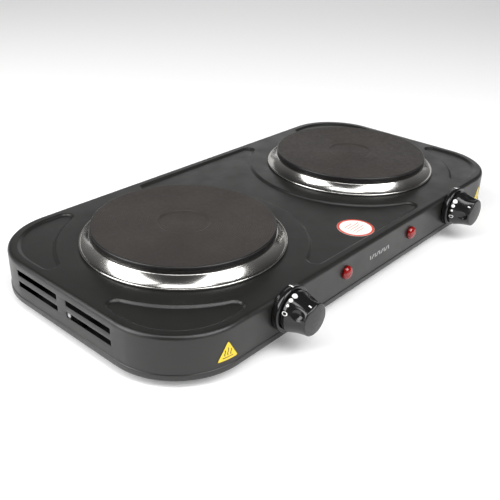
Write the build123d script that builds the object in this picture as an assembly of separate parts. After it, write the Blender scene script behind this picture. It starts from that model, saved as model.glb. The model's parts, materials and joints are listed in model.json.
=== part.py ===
from build123d import *
import math
import os

# Twin-plate electric hot plate. Millimetres, +Z up, +X along the length.
# The knobs face -Y and the mains cord leaves at +Y.
# Every piece is drawn about the middle of the housing, on the surface it stands on (z = 0),
# and the whole object is then moved along Y so that its box is centred on the origin.

# ---- housing ----
body_length = 484.0
body_width = 236.0
skirt_height = 36.0
corner_radius = 60.0
sheet = 0.8
deck_edge_radius = 3.5
hem_height = 4.5
hem_step = 0.6

# ---- pressed zones in the deck ----
zone_depth = 1.8
zone_inset = 8.5
zone_tip_radius = 7.5
zone_wall_run = 1.6
zone_arc_radius = 105.1
zone_arc_from_end = 121.0
zone_arc_from_side = 118.0
middle_zone_waist = 15.9
middle_zone_tip_x = 73.3

# ---- end-wall vents ----
vent_length = 52.0
vent_height = 5.0
vent_pitch = 10.0
vent_below_deck = 14.5
vent_gap = 11.0
vent_shift = 4.5
vent_rows = 2

# ---- cooking plates ----
plate_radius = 77.5
plate_rise = 15.0
plate_rim_thickness = 6.0
plate_edge_radius = 1.2
plate_body_inset = 5.5
plate_body_depth = 7.0
plate_centre_radius = 21.0
plate_centre_depth = 0.8
channel_outer_inset = 5.5
channel_inner_radius = 17.0
stud_radius = 2.5

# ---- trim rings ----
ring_sheet = 0.7
ring_run = 9.0
ring_clearance = 0.6
ring_lip_radius = 1.1
ring_pull_out = 0.38
ring_pull_up = 0.32
ring_shelf = 5.0
opening_overlap = 5.0

# ---- heating coil ----
coil_tube_radius = 2.0
coil_outer_inset = 19.5
coil_pitch = 11.0
coil_half_turns = 6
coil_roof = 1.0
coil_leg_drop = 7.0
potting_clearance = 0.05

# ---- parts hung under each plate ----
cover_sheet = 0.5
cover_inset = 1.0
cover_leg_play = 0.5
bracket_width = 22.0
bracket_sheet = 1.5
bracket_foot = 7.0
bracket_drop = 9.0
bracket_bend = 3.0
shield_sheet = 0.5
shield_drop = 3.0
shield_rim = 3.0
nut_across_flats = 8.0
nut_height = 4.0
stud_tip = 2.0
stud_play = 0.3
washer_radius = 6.0
washer_height = 1.0
insulator_width = 14.0
insulator_height = 8.0
insulator_margin = 6.0
insulator_corner = 3.0
insulator_leg_play = 0.2

# ---- knobs and their bezels ----
knob_from_corner = 54.0
knob_below_deck = 12.5
bezel_radius = 19.0
bezel_length = 6.0
bezel_hole_radius = 9.0
bezel_relief_radius = 16.5
bezel_relief_depth = 2.5
bezel_bevel = 1.0
bezel_round = 0.3
knob_gap = 1.0
knob_skirt_radius = 16.5
knob_skirt_length = 3.0
knob_face_radius = 13.0
knob_length = 19.0
knob_dome = 1.4
knob_wall = 1.8
knob_boss_radius = 5.2
knob_cavity_radius = 8.2
knob_skirt_bevel = 0.6
knob_roof = 1.5
knob_boss_back = 0.5
knob_bore_play = 0.2
knob_mark_flat = 12.2
knob_mark_angles = {"left": 106.0, "right": 138.0}

# ---- thermostats ----
shaft_radius = 3.0
shaft_flat = 1.2
shaft_clearance = 0.05
shaft_in_knob = 11.0
shaft_back_gap = 4.0
shaft_bore_back_gap = 3.0
bush_radius = 4.8
bush_clearance = 0.2
thermostat_width = 30.0
thermostat_depth = 22.0
thermostat_height = 18.0
thermostat_plate = 1.2
thermostat_to_shield = 4.0
contact_blade = (6.3, 8.0, 0.8)
contact_rise = 6.0
bimetal_strip = (9.0, 5.0, 0.6)
thermostat_screw_pitch = 24.0
thermostat_screw_tip = 1.5
thermostat_case_gap = 1.0
screw_radius = 1.5
screw_clearance = 0.1

# ---- pilot lamps ----
lamp_from_knob = 77.0
lamp_below_deck = 15.0
lamp_radius = 6.0
lamp_dome = 4.6
lamp_collar = 1.0
lamp_stem_radius = 4.8
lamp_stem_length = 12.0
lamp_hole_clearance = 0.2
bulb_radius = 2.4
bulb_length = 10.0
bulb_gap = 0.6
bulb_back_gap = 1.0
lead_radius = 0.4
lead_pitch = 2.0
lead_length = 6.0
lens_roof = 1.0
lamp_clip_width = 16.0
lamp_clip_height = 14.0
lamp_clip_sheet = 0.6
lamp_clip_play = 0.05

# ---- base, feet and fasteners ----
base_sheet = 0.8
base_lift = 1.0
base_clearance = 0.4
base_vent_length = 44.0
base_vent_width = 3.4
base_vent_rows = 5
base_vent_pitch = 9.0
foot_height = 7.0
foot_radius = 10.0
foot_inset_x = 62.0
foot_inset_y = 40.0
tab_width = 10.0
tab_reach = 12.0
tab_rise = 16.0
tab_sheet = 1.2
tab_from_knob = 43.0
tab_screw_tip = 3.0
foot_edge_radius = 1.2
foot_screw_sink = 3.2
foot_screw_play = 0.8
foot_screw_tip = 3.0
screw_head_radius = 2.8
screw_head_height = 1.8
screw_head_edge = 0.8
screw_slot = (0.8, 4.0, 1.2)
small_nut_radius = 3.2
small_nut_height = 2.4

# ---- mains entry ----
gland_flange_radius = 9.0
gland_body_radius = 6.6
gland_outside = 8.0
gland_inside = 6.0
gland_flange = 1.6
gland_taper = 0.6
gland_below_deck = 17.0
cord_bore_radius = 4.2
cord_saddle_width = 30.0
cord_saddle_depth = 9.0
cord_saddle_inset = 22.0
cord_bar_height = 5.0
cord_squeeze = 1.0
cord_screw_tip = 3.0
terminal_size = (34.0, 16.0, 14.0)
terminal_from_rear = 52.0
terminal_corner = 1.5
terminal_screw_hole = 1.8
wire_radius = 1.1
wire_play = 0.3
wire_clearance = 1.0
wire_bend = 6.0
wire_spread = 26.0
wire_past_shield = 9.0
wire_to_contact = 9.0
wire_step = 4.0
earth_screw_x = 34.0
earth_screw_tip = 5.0
earth_tag_radius = 4.5
earth_tag_sheet = 0.8

# ---- labels ----
label_thickness = 0.15
deck_label_radius = 16.5
deck_label_y = -91.0
corner_label_side = 20.0
corner_label_angle = 81.0
corner_label_height = 8.5

# ---- levels and places that follow from the sizes above ----
skirt_bottom = foot_height
screw_hole = screw_radius + screw_clearance
deck_top = skirt_bottom + skirt_height
deck_under = deck_top - sheet
half_length = body_length / 2
half_width = body_width / 2
plate_x = body_length / 4
contacts_end = sheet + thermostat_plate + thermostat_depth + contact_blade[1]
shield_radius = half_width - contacts_end - thermostat_to_shield
plate_top = deck_top + plate_rise
rim_under = plate_top - plate_rim_thickness
plate_under = rim_under - plate_body_depth
ring_inner_radius = plate_radius + ring_clearance
ring_outer_radius = ring_inner_radius + ring_run
opening_radius = ring_outer_radius - opening_overlap
base_top = skirt_bottom + base_lift + base_sheet
knob_x = half_length - corner_radius - knob_from_corner
knob_z = deck_top - knob_below_deck
lamp_x = knob_x - lamp_from_knob
tab_x = knob_x - tab_from_knob
lamp_z = deck_top - lamp_below_deck
gland_z = deck_top - gland_below_deck
knob_back = bezel_length + knob_gap
front_reach = half_width + knob_back + knob_length + knob_dome
rear_reach = half_width + gland_outside
y_shift = (front_reach - rear_reach) / 2

SIDES = {"left": -1, "right": 1}


def group(pieces):
    """Several separate solids as one node."""
    return Compound([solid for piece in pieces for solid in piece.solids()])


def save(node, shape):
    """Write one node, moved so that the object's box is centred on the origin."""
    moved = Pos(0, y_shift, 0) * shape
    export_step(moved, f"parts/{node}.step")


def cylinder(radius, bottom, top, x=0.0, y=0.0):
    """An upright cylinder between two heights."""
    return Pos(x, y, (bottom + top) / 2) * Cylinder(radius, top - bottom)


def ring(outer, inner, bottom, top, x=0.0, y=0.0):
    """An upright tube between two heights."""
    return cylinder(outer, bottom, top, x, y) - cylinder(inner, bottom - 1, top + 1, x, y)


def rod(radius, y_back, y_front, x, z):
    """A cylinder along Y between two depths."""
    place = Pos(x, (y_back + y_front) / 2, z) * Rot(90, 0, 0)
    return place * Cylinder(radius, y_back - y_front)


def block(size, centre):
    """A plain box about a centre point."""
    return Pos(*centre) * Box(*size)


def turned(points, x=0.0, y=0.0):
    """Spin a closed outline of (radius, height) points about an upright axis at x, y."""
    outline = make_face(Polyline(*[(r, 0, z) for r, z in points], close=True))
    return Pos(x, y, 0) * revolve(outline, Axis.Z)


def turned_along_front(points, x, z):
    """Spin a closed outline of (radius, distance ahead of the front wall) about a -Y axis."""
    spun = revolve(make_face(Polyline(*[(r, 0, d) for r, d in points], close=True)), Axis.Z)
    return Pos(x, -half_width, z) * Rot(90, 0, 0) * spun


def plan_block(offset, bottom, top):
    """The housing's rounded plan, moved inwards by an offset, between two heights."""
    plan = RectangleRounded(
        body_length - 2 * offset, body_width - 2 * offset, corner_radius - offset
    )
    return Pos(0, 0, bottom) * extrude(plan, top - bottom)


def arc(centre, radius, start, end):
    """An arc in plan, from a start angle to an end angle in degrees."""
    points = []
    for angle in (start, (start + end) / 2, end):
        a = math.radians(angle)
        points.append((centre[0] + radius * math.cos(a), centre[1] + radius * math.sin(a)))
    return ThreePointArc(*points)


def corner_zone(inward):
    """Outline of the rear right pressed zone, moved inwards by a distance."""
    x_edge = half_length - zone_inset - inward
    y_edge = half_width - zone_inset - inward
    tip = zone_tip_radius - inward
    corner = corner_radius - zone_inset - inward
    centre = (half_length - zone_arc_from_end, half_width - zone_arc_from_side)
    reach = zone_arc_radius + zone_tip_radius
    across = x_edge - tip - centre[0]
    up = y_edge - tip - centre[1]
    end_tip = (x_edge - tip, centre[1] + math.sqrt(reach**2 - across**2))
    side_tip = (centre[0] + math.sqrt(reach**2 - up**2), y_edge - tip)
    end_angle = math.degrees(math.acos(across / reach))
    side_angle = math.degrees(math.asin(up / reach))
    edges = [
        arc(centre, zone_arc_radius + inward, side_angle, end_angle),
        arc(end_tip, tip, 180 + end_angle, 360),
        Line((x_edge, end_tip[1]), (x_edge, y_edge - corner)),
        arc((x_edge - corner, y_edge - corner), corner, 0, 90),
        Line((x_edge - corner, y_edge), (side_tip[0], y_edge)),
        arc(side_tip, tip, 90, 180 + side_angle),
    ]
    return make_face(edges)


def middle_zone(inward):
    """Outline of the waisted zone between the plates, moved inwards by a distance."""
    y_edge = half_width - zone_inset - inward
    tip = zone_tip_radius - inward
    tip_x = middle_zone_tip_x
    tip_y = y_edge - tip
    neck = middle_zone_waist - zone_tip_radius
    centre_x = (tip_x**2 + tip_y**2 - neck**2) / (2 * (tip_x - neck))
    lean = math.degrees(math.atan2(tip_y, centre_x - tip_x))
    waist = centre_x - middle_zone_waist + inward
    edges = [
        Line((tip_x, y_edge), (-tip_x, y_edge)),
        arc((-tip_x, tip_y), tip, 90, 180 + lean),
        arc((-centre_x, 0), waist, lean, -lean),
        arc((-tip_x, -tip_y), tip, 180 - lean, 270),
        Line((-tip_x, -y_edge), (tip_x, -y_edge)),
        arc((tip_x, -tip_y), tip, -90, lean),
        arc((centre_x, 0), waist, 180 + lean, 180 - lean),
        arc((tip_x, tip_y), tip, -lean, 90),
    ]
    return make_face(edges)


def pressed(outline, top, depth, start=0.0):
    """A shallow pressed pocket with sloping walls, from a top height down by a depth."""
    upper = Pos(0, 0, top) * outline(start)
    lower = Pos(0, 0, top - depth) * outline(start + zone_wall_run)
    return loft([upper, lower], ruled=True)


def all_pockets(top, depth, start=0.0):
    """The four corner pockets and the middle one."""
    corner = pressed(corner_zone, top, depth, start)
    across = mirror(corner, Plane.YZ)
    pockets = [pressed(middle_zone, top, depth, start), corner, across]
    pockets += [mirror(corner, Plane.XZ), mirror(across, Plane.XZ)]
    return pockets


def top_edges(solid, height):
    """The edges of a solid that lie in the plane at one height."""
    return solid.edges().filter_by_position(Axis.Z, height - 0.001, height + 0.001)


def vent_slots():
    """Round-ended slots in both end walls, in two stacks beside the middle."""
    middle = (vent_gap + vent_length) / 2
    slots = []
    for side in SIDES.values():
        for along in (-middle, middle):
            for row in range(vent_rows):
                rise = (row - (vent_rows - 1) / 2) * vent_pitch - vent_below_deck
                place = Pos(side * half_length, vent_shift + along, deck_top + rise)
                outline = Plane.YZ * SlotOverall(vent_length, vent_height)
                slots.append(place * extrude(outline, 3 * sheet, both=True))
    return slots


def wall_hole(radius, x, z, side=-1):
    """A cutter for a round hole through the front (-1) or rear (+1) wall."""
    middle = side * (half_width - sheet / 2)
    reach = 2 * sheet + hem_step
    return rod(radius, middle + reach, middle - reach, x, z)


def top_housing():
    """Deck and skirt pressed in one piece from sheet, with a stepped band at the bottom edge."""
    outer = plan_block(0, skirt_bottom, deck_top)
    outer = fillet(top_edges(outer, deck_top), deck_edge_radius)
    outer += plan_block(-hem_step, skirt_bottom, skirt_bottom + hem_height)
    inner = plan_block(sheet, skirt_bottom - 1, deck_under)
    inner = fillet(top_edges(inner, deck_under), deck_edge_radius - sheet)
    inner -= all_pockets(deck_under, zone_depth, -sheet / 2)
    shell = outer - all_pockets(deck_top, zone_depth) - inner
    cutters = vent_slots()
    for side in SIDES.values():
        cutters.append(cylinder(opening_radius, deck_under - 1, deck_top + 1, side * plate_x))
        cutters.append(wall_hole(bush_radius + bush_clearance, side * knob_x, knob_z))
        cutters.append(wall_hole(lamp_stem_radius + lamp_hole_clearance, side * lamp_x, lamp_z))
        for end in (-1, 1):
            x = side * knob_x + end * thermostat_screw_pitch / 2
            cutters.append(wall_hole(screw_hole, x, knob_z))
    cutters.append(wall_hole(gland_body_radius, 0, gland_z, 1))
    return shell - cutters


def tab_places():
    """Place and heading of each base tab: x, y and the angle that its foot points to."""
    x_wall = half_length - sheet
    y_wall = half_width - sheet
    places = [(-x_wall, 0, 0), (x_wall, 0, 180)]
    for side in (-1, 1):
        places.append((side * tab_x, -y_wall, 90))
        places.append((side * tab_x, y_wall, -90))
    return places


def tab_screw_places():
    """Where the base screws stand, in the middle of each tab's foot."""
    spots = []
    for x, y, heading in tab_places():
        a = math.radians(heading)
        spots.append((x + tab_reach / 2 * math.cos(a), y + tab_reach / 2 * math.sin(a)))
    return spots


def base_tabs():
    """Angle pieces welded inside the skirt, which the base is screwed to."""
    foot = block((tab_reach, tab_width, tab_sheet), (tab_reach / 2, 0, base_top + tab_sheet / 2))
    stem = block((tab_sheet, tab_width, tab_rise), (tab_sheet / 2, 0, base_top + tab_rise / 2))
    hole = cylinder(screw_hole, base_top - 1, base_top + 2 * tab_sheet, tab_reach / 2)
    tab = foot + stem - hole
    tabs = [Pos(x, y, 0) * Rot(0, 0, heading) * tab for x, y, heading in tab_places()]
    return group(tabs)


def foot_places():
    """Centres of the four feet by name."""
    x = half_length - foot_inset_x
    y = half_width - foot_inset_y
    return {
        "front_left": (-x, -y),
        "front_right": (x, -y),
        "rear_left": (-x, y),
        "rear_right": (x, y),
    }


def base_pan():
    """Flat base plate with slots under each cooking plate and holes for feet and screws."""
    plan = sheet + base_clearance
    pan = plan_block(plan, skirt_bottom + base_lift, base_top)
    cutters = []
    for side in SIDES.values():
        for row in range(base_vent_rows):
            x = side * plate_x + (row - (base_vent_rows - 1) / 2) * base_vent_pitch
            slot = SlotOverall(base_vent_length, base_vent_width, rotation=90)
            cutters.append(Pos(x, 0, base_top) * extrude(slot, 2 * base_sheet, both=True))
    for x, y in tab_screw_places() + list(foot_places().values()):
        cutters.append(cylinder(screw_hole, skirt_bottom, base_top + 1, x, y))
    for x in (-1, 1):
        at = x * cord_saddle_width / 3
        cutters.append(cylinder(screw_hole, skirt_bottom, base_top + 1, at, saddle_y()))
    return pan - cutters


def screw_up(x, y, head_bottom, tip):
    """A round-headed screw standing point up."""
    head = cylinder(screw_head_radius, head_bottom, head_bottom + screw_head_height, x, y)
    head = fillet(top_edges(head, head_bottom), screw_head_edge)
    shank = cylinder(screw_radius, head_bottom + screw_head_height, tip, x, y)
    slot = block(screw_slot, (x, y, head_bottom))
    return head + shank - slot


def base_screws():
    """The screws that hold the base to the tabs."""
    head_bottom = skirt_bottom + base_lift - screw_head_height
    tip = base_top + tab_sheet + tab_screw_tip
    screws = [screw_up(x, y, head_bottom, tip) for x, y in tab_screw_places()]
    return group(screws)


def foot(x, y):
    """A round rubber foot with a sunk hole for its screw."""
    top = skirt_bottom + base_lift
    body = cylinder(foot_radius, 0, top, x, y)
    body = fillet(top_edges(body, 0), foot_edge_radius)
    body -= cylinder(screw_head_radius + foot_screw_play, -1, top - foot_screw_sink, x, y)
    return body - cylinder(screw_hole, 0, top + 1, x, y)


def foot_screws():
    """The screws that hold the feet to the base."""
    head_bottom = skirt_bottom + base_lift - foot_screw_sink - screw_head_height
    tip = base_top + foot_screw_tip
    screws = [screw_up(x, y, head_bottom, tip) for x, y in foot_places().values()]
    return group(screws)


def hotplate(x):
    """Cast iron plate: a thick rim, a body that drops inside the ring, and a coil channel."""
    body_radius = plate_radius - plate_body_inset
    channel_outer = body_radius - channel_outer_inset
    roof = rim_under - coil_roof
    edge = plate_edge_radius
    points = [
        (0, plate_top - plate_centre_depth),
        (plate_centre_radius - plate_centre_depth, plate_top - plate_centre_depth),
        (plate_centre_radius, plate_top),
        (plate_radius - edge, plate_top),
        (plate_radius, plate_top - edge),
        (plate_radius, rim_under),
        (body_radius, rim_under),
        (body_radius, plate_under),
        (channel_outer, plate_under),
        (channel_outer, roof),
        (channel_inner_radius, roof),
        (channel_inner_radius, plate_under),
        (stud_radius, plate_under),
        (stud_radius, roof),
        (0, roof),
    ]
    return turned(points, x)


def trim_ring(x, steps=8):
    """Bright ring round a plate: rolled lip, hollow-curved wall and a shelf under the rim."""
    bead_radius = ring_outer_radius - ring_lip_radius
    low = deck_top + ring_lip_radius
    run = bead_radius - ring_inner_radius
    rise = rim_under - low
    shelf_end = ring_inner_radius - ring_shelf
    shelf_under = rim_under - ring_sheet
    start = Vector(ring_inner_radius, rim_under)
    pull = Vector(ring_inner_radius + ring_pull_out * run, low + ring_pull_up * rise)
    end = Vector(bead_radius, low)
    outer = []
    under = []
    for i in range(steps + 1):
        t = 1 - i / steps
        spot = start * (1 - t) ** 2 + pull * 2 * t * (1 - t) + end * t**2
        along = ((pull - start) * (1 - t) + (end - pull) * t).normalized()
        outer.append((spot.X, spot.Y))
        inside = (spot.X + ring_sheet * along.Y, spot.Y - ring_sheet * along.X)
        if inside[1] < shelf_under - ring_sheet / 2:
            under.append(inside)
    shelf = [(shelf_end, rim_under), (shelf_end, shelf_under)]
    inside_top = [(ring_inner_radius - ring_sheet, shelf_under)]
    wall = turned(outer + shelf + inside_top + under[::-1], x)
    return wall + Pos(x, 0, low) * Torus(bead_radius, ring_lip_radius)


def coil_height():
    """Height of the coil's centre line inside the channel."""
    return (plate_under + rim_under - coil_roof) / 2


def coil_radii():
    """Distance of the coil from the plate's axis after each half turn."""
    outer = plate_radius - coil_outer_inset
    return [outer - coil_pitch / 2 * i for i in range(coil_half_turns + 1)]


def heating_coil(x, radius):
    """Sheathed element wound as a flat spiral, with both ends turned down."""
    z = coil_height()
    radii = coil_radii()
    arcs = []
    for i in range(coil_half_turns):
        side = 1 if i % 2 == 0 else -1
        near = radii[i]
        far = radii[i + 1]
        middle_y = side * (near - far) / 2
        bulge = side * (near + far) / 2
        start = (x, side * near, z)
        arcs.append(ThreePointArc(start, (x - bulge, middle_y, z), (x, -side * far, z)))
    section = Plane(origin=(x, radii[0], z), z_dir=(-1, 0, 0)) * Circle(radius)
    coil = sweep(section, path=Wire(arcs))
    for end in (radii[0], radii[-1]):
        coil += Pos(x, end, z) * Sphere(radius)
        coil += cylinder(radius, z - coil_leg_drop, z, x, end)
    return coil


def ceramic_potting(x, coil):
    """Magnesia fill packed round the coil."""
    gap = potting_clearance
    outer = plate_radius - plate_body_inset - channel_outer_inset - gap
    fill = ring(outer, channel_inner_radius + gap, plate_under, rim_under - coil_roof, x)
    return fill - coil


def leg_cutters(x, radius, bottom, top):
    """Cutters for the coil's two legs."""
    radii = coil_radii()
    return [cylinder(radius, bottom, top, x, end) for end in (radii[0], radii[-1])]


def plate_cover(x):
    """Thin disc that closes the plate's underside."""
    radius = plate_radius - plate_body_inset - cover_inset
    disc = ring(radius, stud_radius + stud_play, plate_under - cover_sheet, plate_under, x)
    return disc - leg_cutters(x, coil_tube_radius + cover_leg_play, plate_under - 2, plate_under + 1)


def terminal_insulator(x):
    """Porcelain bar that carries the coil's ends."""
    radii = coil_radii()
    length = radii[0] - radii[-1] + 2 * insulator_margin
    top = plate_under - cover_sheet
    middle = (radii[0] + radii[-1]) / 2
    size = (insulator_width, length, insulator_height)
    bar = block(size, (x, middle, top - insulator_height / 2))
    bar = fillet(bar.edges().filter_by(Axis.Z), insulator_corner)
    bottom = coil_height() - coil_leg_drop
    bar -= leg_cutters(x, coil_tube_radius + insulator_leg_play, bottom, top + 1)
    return bar - leg_cutters(x, screw_hole, top - insulator_height - 1, bottom + 0.5)


def clamp_bracket(x):
    """Dished strap that the stud pulls up against the underside of the deck."""
    reach = opening_radius + bracket_foot
    bend = opening_radius - bracket_bend
    flat = bend - bracket_drop
    top = deck_under
    low = deck_under - bracket_drop
    upper = [(-reach, top), (-bend, top), (-flat, low), (flat, low), (bend, top), (reach, top)]
    lower = [(r, z - bracket_sheet) for r, z in reversed(upper)]
    outline = make_face(Polyline(*[(r, 0, z) for r, z in upper + lower], close=True))
    strap = extrude(outline, bracket_width / 2, both=True)
    strap -= cylinder(stud_radius + stud_play, low - 5, top)
    return Pos(x, 0, 0) * strap


def bracket_under():
    """Height of the underside of the clamp bracket's middle."""
    return deck_under - bracket_drop - bracket_sheet


def shield_top():
    """Height of the top of the heat shield, which hangs under the first nut."""
    return bracket_under() - washer_height - nut_height


def heat_shield(x):
    """Dished reflector between the plate and the base."""
    top = shield_top()
    disc = ring(shield_radius, stud_radius + stud_play, top - shield_sheet, top, x)
    rim = ring(shield_radius, shield_radius - shield_sheet, top, top + shield_rim, x)
    return disc + rim


def centre_stud(x):
    """Threaded stud screwed up into the plate."""
    end = shield_top() - shield_sheet - nut_height - stud_tip
    return cylinder(stud_radius, end, rim_under - coil_roof, x)


def hex_nut(x, bottom):
    """A plain hexagon nut round the stud."""
    outline = RegularPolygon(nut_across_flats / 2, 6, major_radius=False)
    outline -= Circle(stud_radius)
    return Pos(x, 0, bottom) * extrude(outline, nut_height)


def stud_nuts(x):
    """Washer and nut under the bracket, and a second nut under the shield."""
    under = bracket_under()
    washer = ring(washer_radius, stud_radius, under - washer_height, under, x)
    clamp = hex_nut(x, under - washer_height - nut_height)
    lock = hex_nut(x, shield_top() - shield_sheet - nut_height)
    return group([washer, clamp, lock])


def bezel(x):
    """Fixed round collar behind a knob, hollow at the back over the screw heads."""
    points = [
        (bezel_hole_radius, bezel_relief_depth),
        (bezel_hole_radius, bezel_length),
        (bezel_radius - bezel_bevel, bezel_length),
        (bezel_radius - bezel_round, bezel_length - bezel_round),
        (bezel_radius, bezel_length - bezel_bevel),
        (bezel_radius, 0),
        (bezel_relief_radius, 0),
        (bezel_relief_radius, bezel_relief_depth),
    ]
    return turned_along_front(points, x, knob_z)


def d_shaft(radius, back, front, x):
    """A shaft with a flat along its upper side, between two distances ahead of the wall."""
    middle = -half_width - (back + front) / 2
    round_bar = rod(radius, -half_width - back, -half_width - front, x, knob_z)
    height = 2 * shaft_flat
    flat = block((4 * radius, front - back, height), (x, middle, knob_z + radius))
    return round_bar - flat


def thermostat_back():
    """Distance of the thermostat's back face behind the outside of the front wall."""
    return sheet + thermostat_plate + thermostat_depth


def thermostat_shaft(x):
    """Control shaft: round in its bush, with a flat where the knob fits."""
    back = -thermostat_back() + shaft_back_gap
    flat_start = knob_back
    bar = rod(shaft_radius, -half_width - back, -half_width - flat_start, x, knob_z)
    return bar + d_shaft(shaft_radius, flat_start, knob_back + shaft_in_knob, x)


def knob_dome_points(steps=5):
    """The lightly domed end of a knob, from its middle to its edge."""
    face = knob_back + knob_length
    points = []
    for i in range(steps + 1):
        share = i / steps
        points.append((knob_face_radius * share, face + knob_dome * (1 - share**2)))
    return points


def knob(x, mark_angle):
    """Tapered knob with a short skirt, a flat for its mark and a boss for the shaft."""
    skirt_front = knob_back + knob_skirt_length
    roof = knob_back + shaft_in_knob + knob_roof
    points = knob_dome_points() + [
        (knob_skirt_radius - knob_skirt_bevel, skirt_front),
        (knob_skirt_radius, skirt_front - knob_skirt_bevel),
        (knob_skirt_radius, knob_back),
        (knob_skirt_radius - knob_wall, knob_back),
        (knob_skirt_radius - knob_wall, skirt_front - knob_wall),
        (knob_cavity_radius, skirt_front - knob_wall),
        (knob_cavity_radius, roof),
        (knob_boss_radius, roof),
        (knob_boss_radius, knob_back + knob_boss_back),
        (0, knob_back + knob_boss_back),
    ]
    body = turned_along_front(points, x, knob_z)
    front = knob_back + knob_length + 2 * knob_dome
    middle = -half_width - (skirt_front + front) / 2
    depth = knob_skirt_radius
    cut = block((4 * depth, front - skirt_front, depth), (0, 0, knob_mark_flat + depth / 2))
    body -= Pos(x, middle, knob_z) * Rot(0, 90 - mark_angle, 0) * cut
    bore_end = knob_back + shaft_in_knob + knob_bore_play
    return body - d_shaft(shaft_radius + shaft_clearance, knob_back, bore_end, x)


def thermostat_body(x):
    """Thermostat case with its mounting plate and the threaded bush through the wall."""
    width = thermostat_width
    depth = thermostat_depth
    height = thermostat_height
    inside = -half_width + sheet
    plate = block(
        (width, thermostat_plate, height), (x, inside + thermostat_plate / 2, knob_z)
    )
    case_width = thermostat_screw_pitch - 2 * (screw_radius + thermostat_case_gap)
    middle = inside + thermostat_plate + depth / 2
    case = block((case_width, depth, height), (x, middle, knob_z))
    bush = rod(bush_radius, inside, -half_width - bezel_length + 1, x, knob_z)
    body = plate + case + bush
    back = -half_width + thermostat_back() - shaft_bore_back_gap
    body -= rod(shaft_radius + shaft_clearance, back, -half_width - bezel_length, x, knob_z)
    for end in (-1, 1):
        at = x + end * thermostat_screw_pitch / 2
        body -= rod(screw_hole, inside + 2 * thermostat_plate, inside - 1, at, knob_z)
    return body


def thermostat_contacts(x):
    """Two blade contacts and the bimetal strip behind the thermostat case."""
    back = -half_width + thermostat_back()
    pieces = []
    for rise in (-contact_rise, contact_rise):
        middle = (x, back + contact_blade[1] / 2, knob_z + rise)
        pieces.append(block(contact_blade, middle))
    pieces.append(block(bimetal_strip, (x, back + bimetal_strip[1] / 2, knob_z)))
    return group(pieces)


def thermostat_screws(x):
    """Two screws through the front wall into the thermostat's plate."""
    pieces = []
    head_front = -half_width - screw_head_height
    tip = -half_width + sheet + thermostat_plate + thermostat_screw_tip
    for end in (-1, 1):
        at = x + end * thermostat_screw_pitch / 2
        head = rod(screw_head_radius, -half_width, head_front, at, knob_z)
        pieces.append(head + rod(screw_radius, tip, -half_width, at, knob_z))
    return group(pieces)


def lamp_lens(x, steps=6):
    """Domed red lens with a hollow stem through the wall."""
    dome = []
    for i in range(steps + 1):
        turn = math.pi / 2 * i / steps
        rise = lamp_collar + (lamp_dome - lamp_collar) * math.cos(turn)
        dome.append((lamp_radius * math.sin(turn), rise))
    hollow = bulb_radius + bulb_gap
    points = dome + [
        (lamp_radius, 0),
        (lamp_stem_radius, 0),
        (lamp_stem_radius, -lamp_stem_length),
        (hollow, -lamp_stem_length),
        (hollow, lens_roof),
        (0, lens_roof),
    ]
    return turned_along_front(points, x, lamp_z)


def lamp_bulb(x):
    """Neon bulb inside the lens."""
    back = -half_width + lamp_stem_length + bulb_back_gap
    front = back - bulb_length
    glass = rod(bulb_radius, back, front, x, lamp_z)
    leads = []
    for side in (-1, 1):
        at = x + side * lead_pitch / 2
        leads.append(rod(lead_radius, back + lead_length, back, at, lamp_z))
    return glass + leads


def lamp_clip(x):
    """Spring clip that grips the lens stem behind the wall."""
    inside = -half_width + sheet
    size = (lamp_clip_width, lamp_clip_sheet, lamp_clip_height)
    plate = block(size, (x, inside + lamp_clip_sheet / 2, lamp_z))
    return plate - rod(lamp_stem_radius + lamp_clip_play, inside + 2, inside - 1, x, lamp_z)


def cord_gland():
    """Grommet in the rear wall that the mains cord passes through."""
    points = [
        (cord_bore_radius, -sheet - gland_inside),
        (gland_body_radius, -sheet - gland_inside),
        (gland_body_radius, 0),
        (gland_flange_radius, 0),
        (gland_flange_radius, gland_flange),
        (gland_body_radius + gland_taper, gland_flange),
        (gland_body_radius - gland_taper, gland_outside),
        (cord_bore_radius, gland_outside),
    ]
    return Rot(0, 0, 180) * turned_along_front(points, 0, gland_z)


def saddle_y():
    """Depth of the cord clamp's middle."""
    return half_width - cord_saddle_inset


def cord_saddle():
    """Block on the base that the cord lies across."""
    height = gland_z - cord_squeeze - base_top
    y = saddle_y()
    size = (cord_saddle_width, cord_saddle_depth, height)
    body = block(size, (0, y, base_top + height / 2))
    body -= rod(cord_bore_radius, y + 10, y - 10, 0, gland_z)
    for side in (-1, 1):
        at = side * cord_saddle_width / 3
        body -= cylinder(screw_hole, base_top - 1, gland_z, at, y)
    return body


def cord_clamp_bar():
    """Bar that holds the cord down on its saddle."""
    low = gland_z
    y = saddle_y()
    size = (cord_saddle_width, cord_saddle_depth, cord_bar_height)
    body = block(size, (0, y, low + cord_bar_height / 2))
    body -= rod(cord_bore_radius, y + 10, y - 10, 0, gland_z - cord_squeeze)
    for side in (-1, 1):
        at = side * cord_saddle_width / 3
        body -= cylinder(screw_hole, low - 1, low + cord_bar_height + 1, at, y)
    return body


def cord_clamp_screws():
    """Screws up through the base and saddle into nuts on the bar."""
    low = skirt_bottom + base_lift - screw_head_height
    bar_top = gland_z + cord_bar_height
    tip = bar_top + cord_screw_tip
    screws = []
    for side in (-1, 1):
        at = side * cord_saddle_width / 3
        nut = ring(small_nut_radius, screw_hole, bar_top, bar_top + small_nut_height)
        screws.append(screw_up(at, saddle_y(), low, tip))
        screws.append(Pos(at, saddle_y(), 0) * nut)
    return group(screws)


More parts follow.
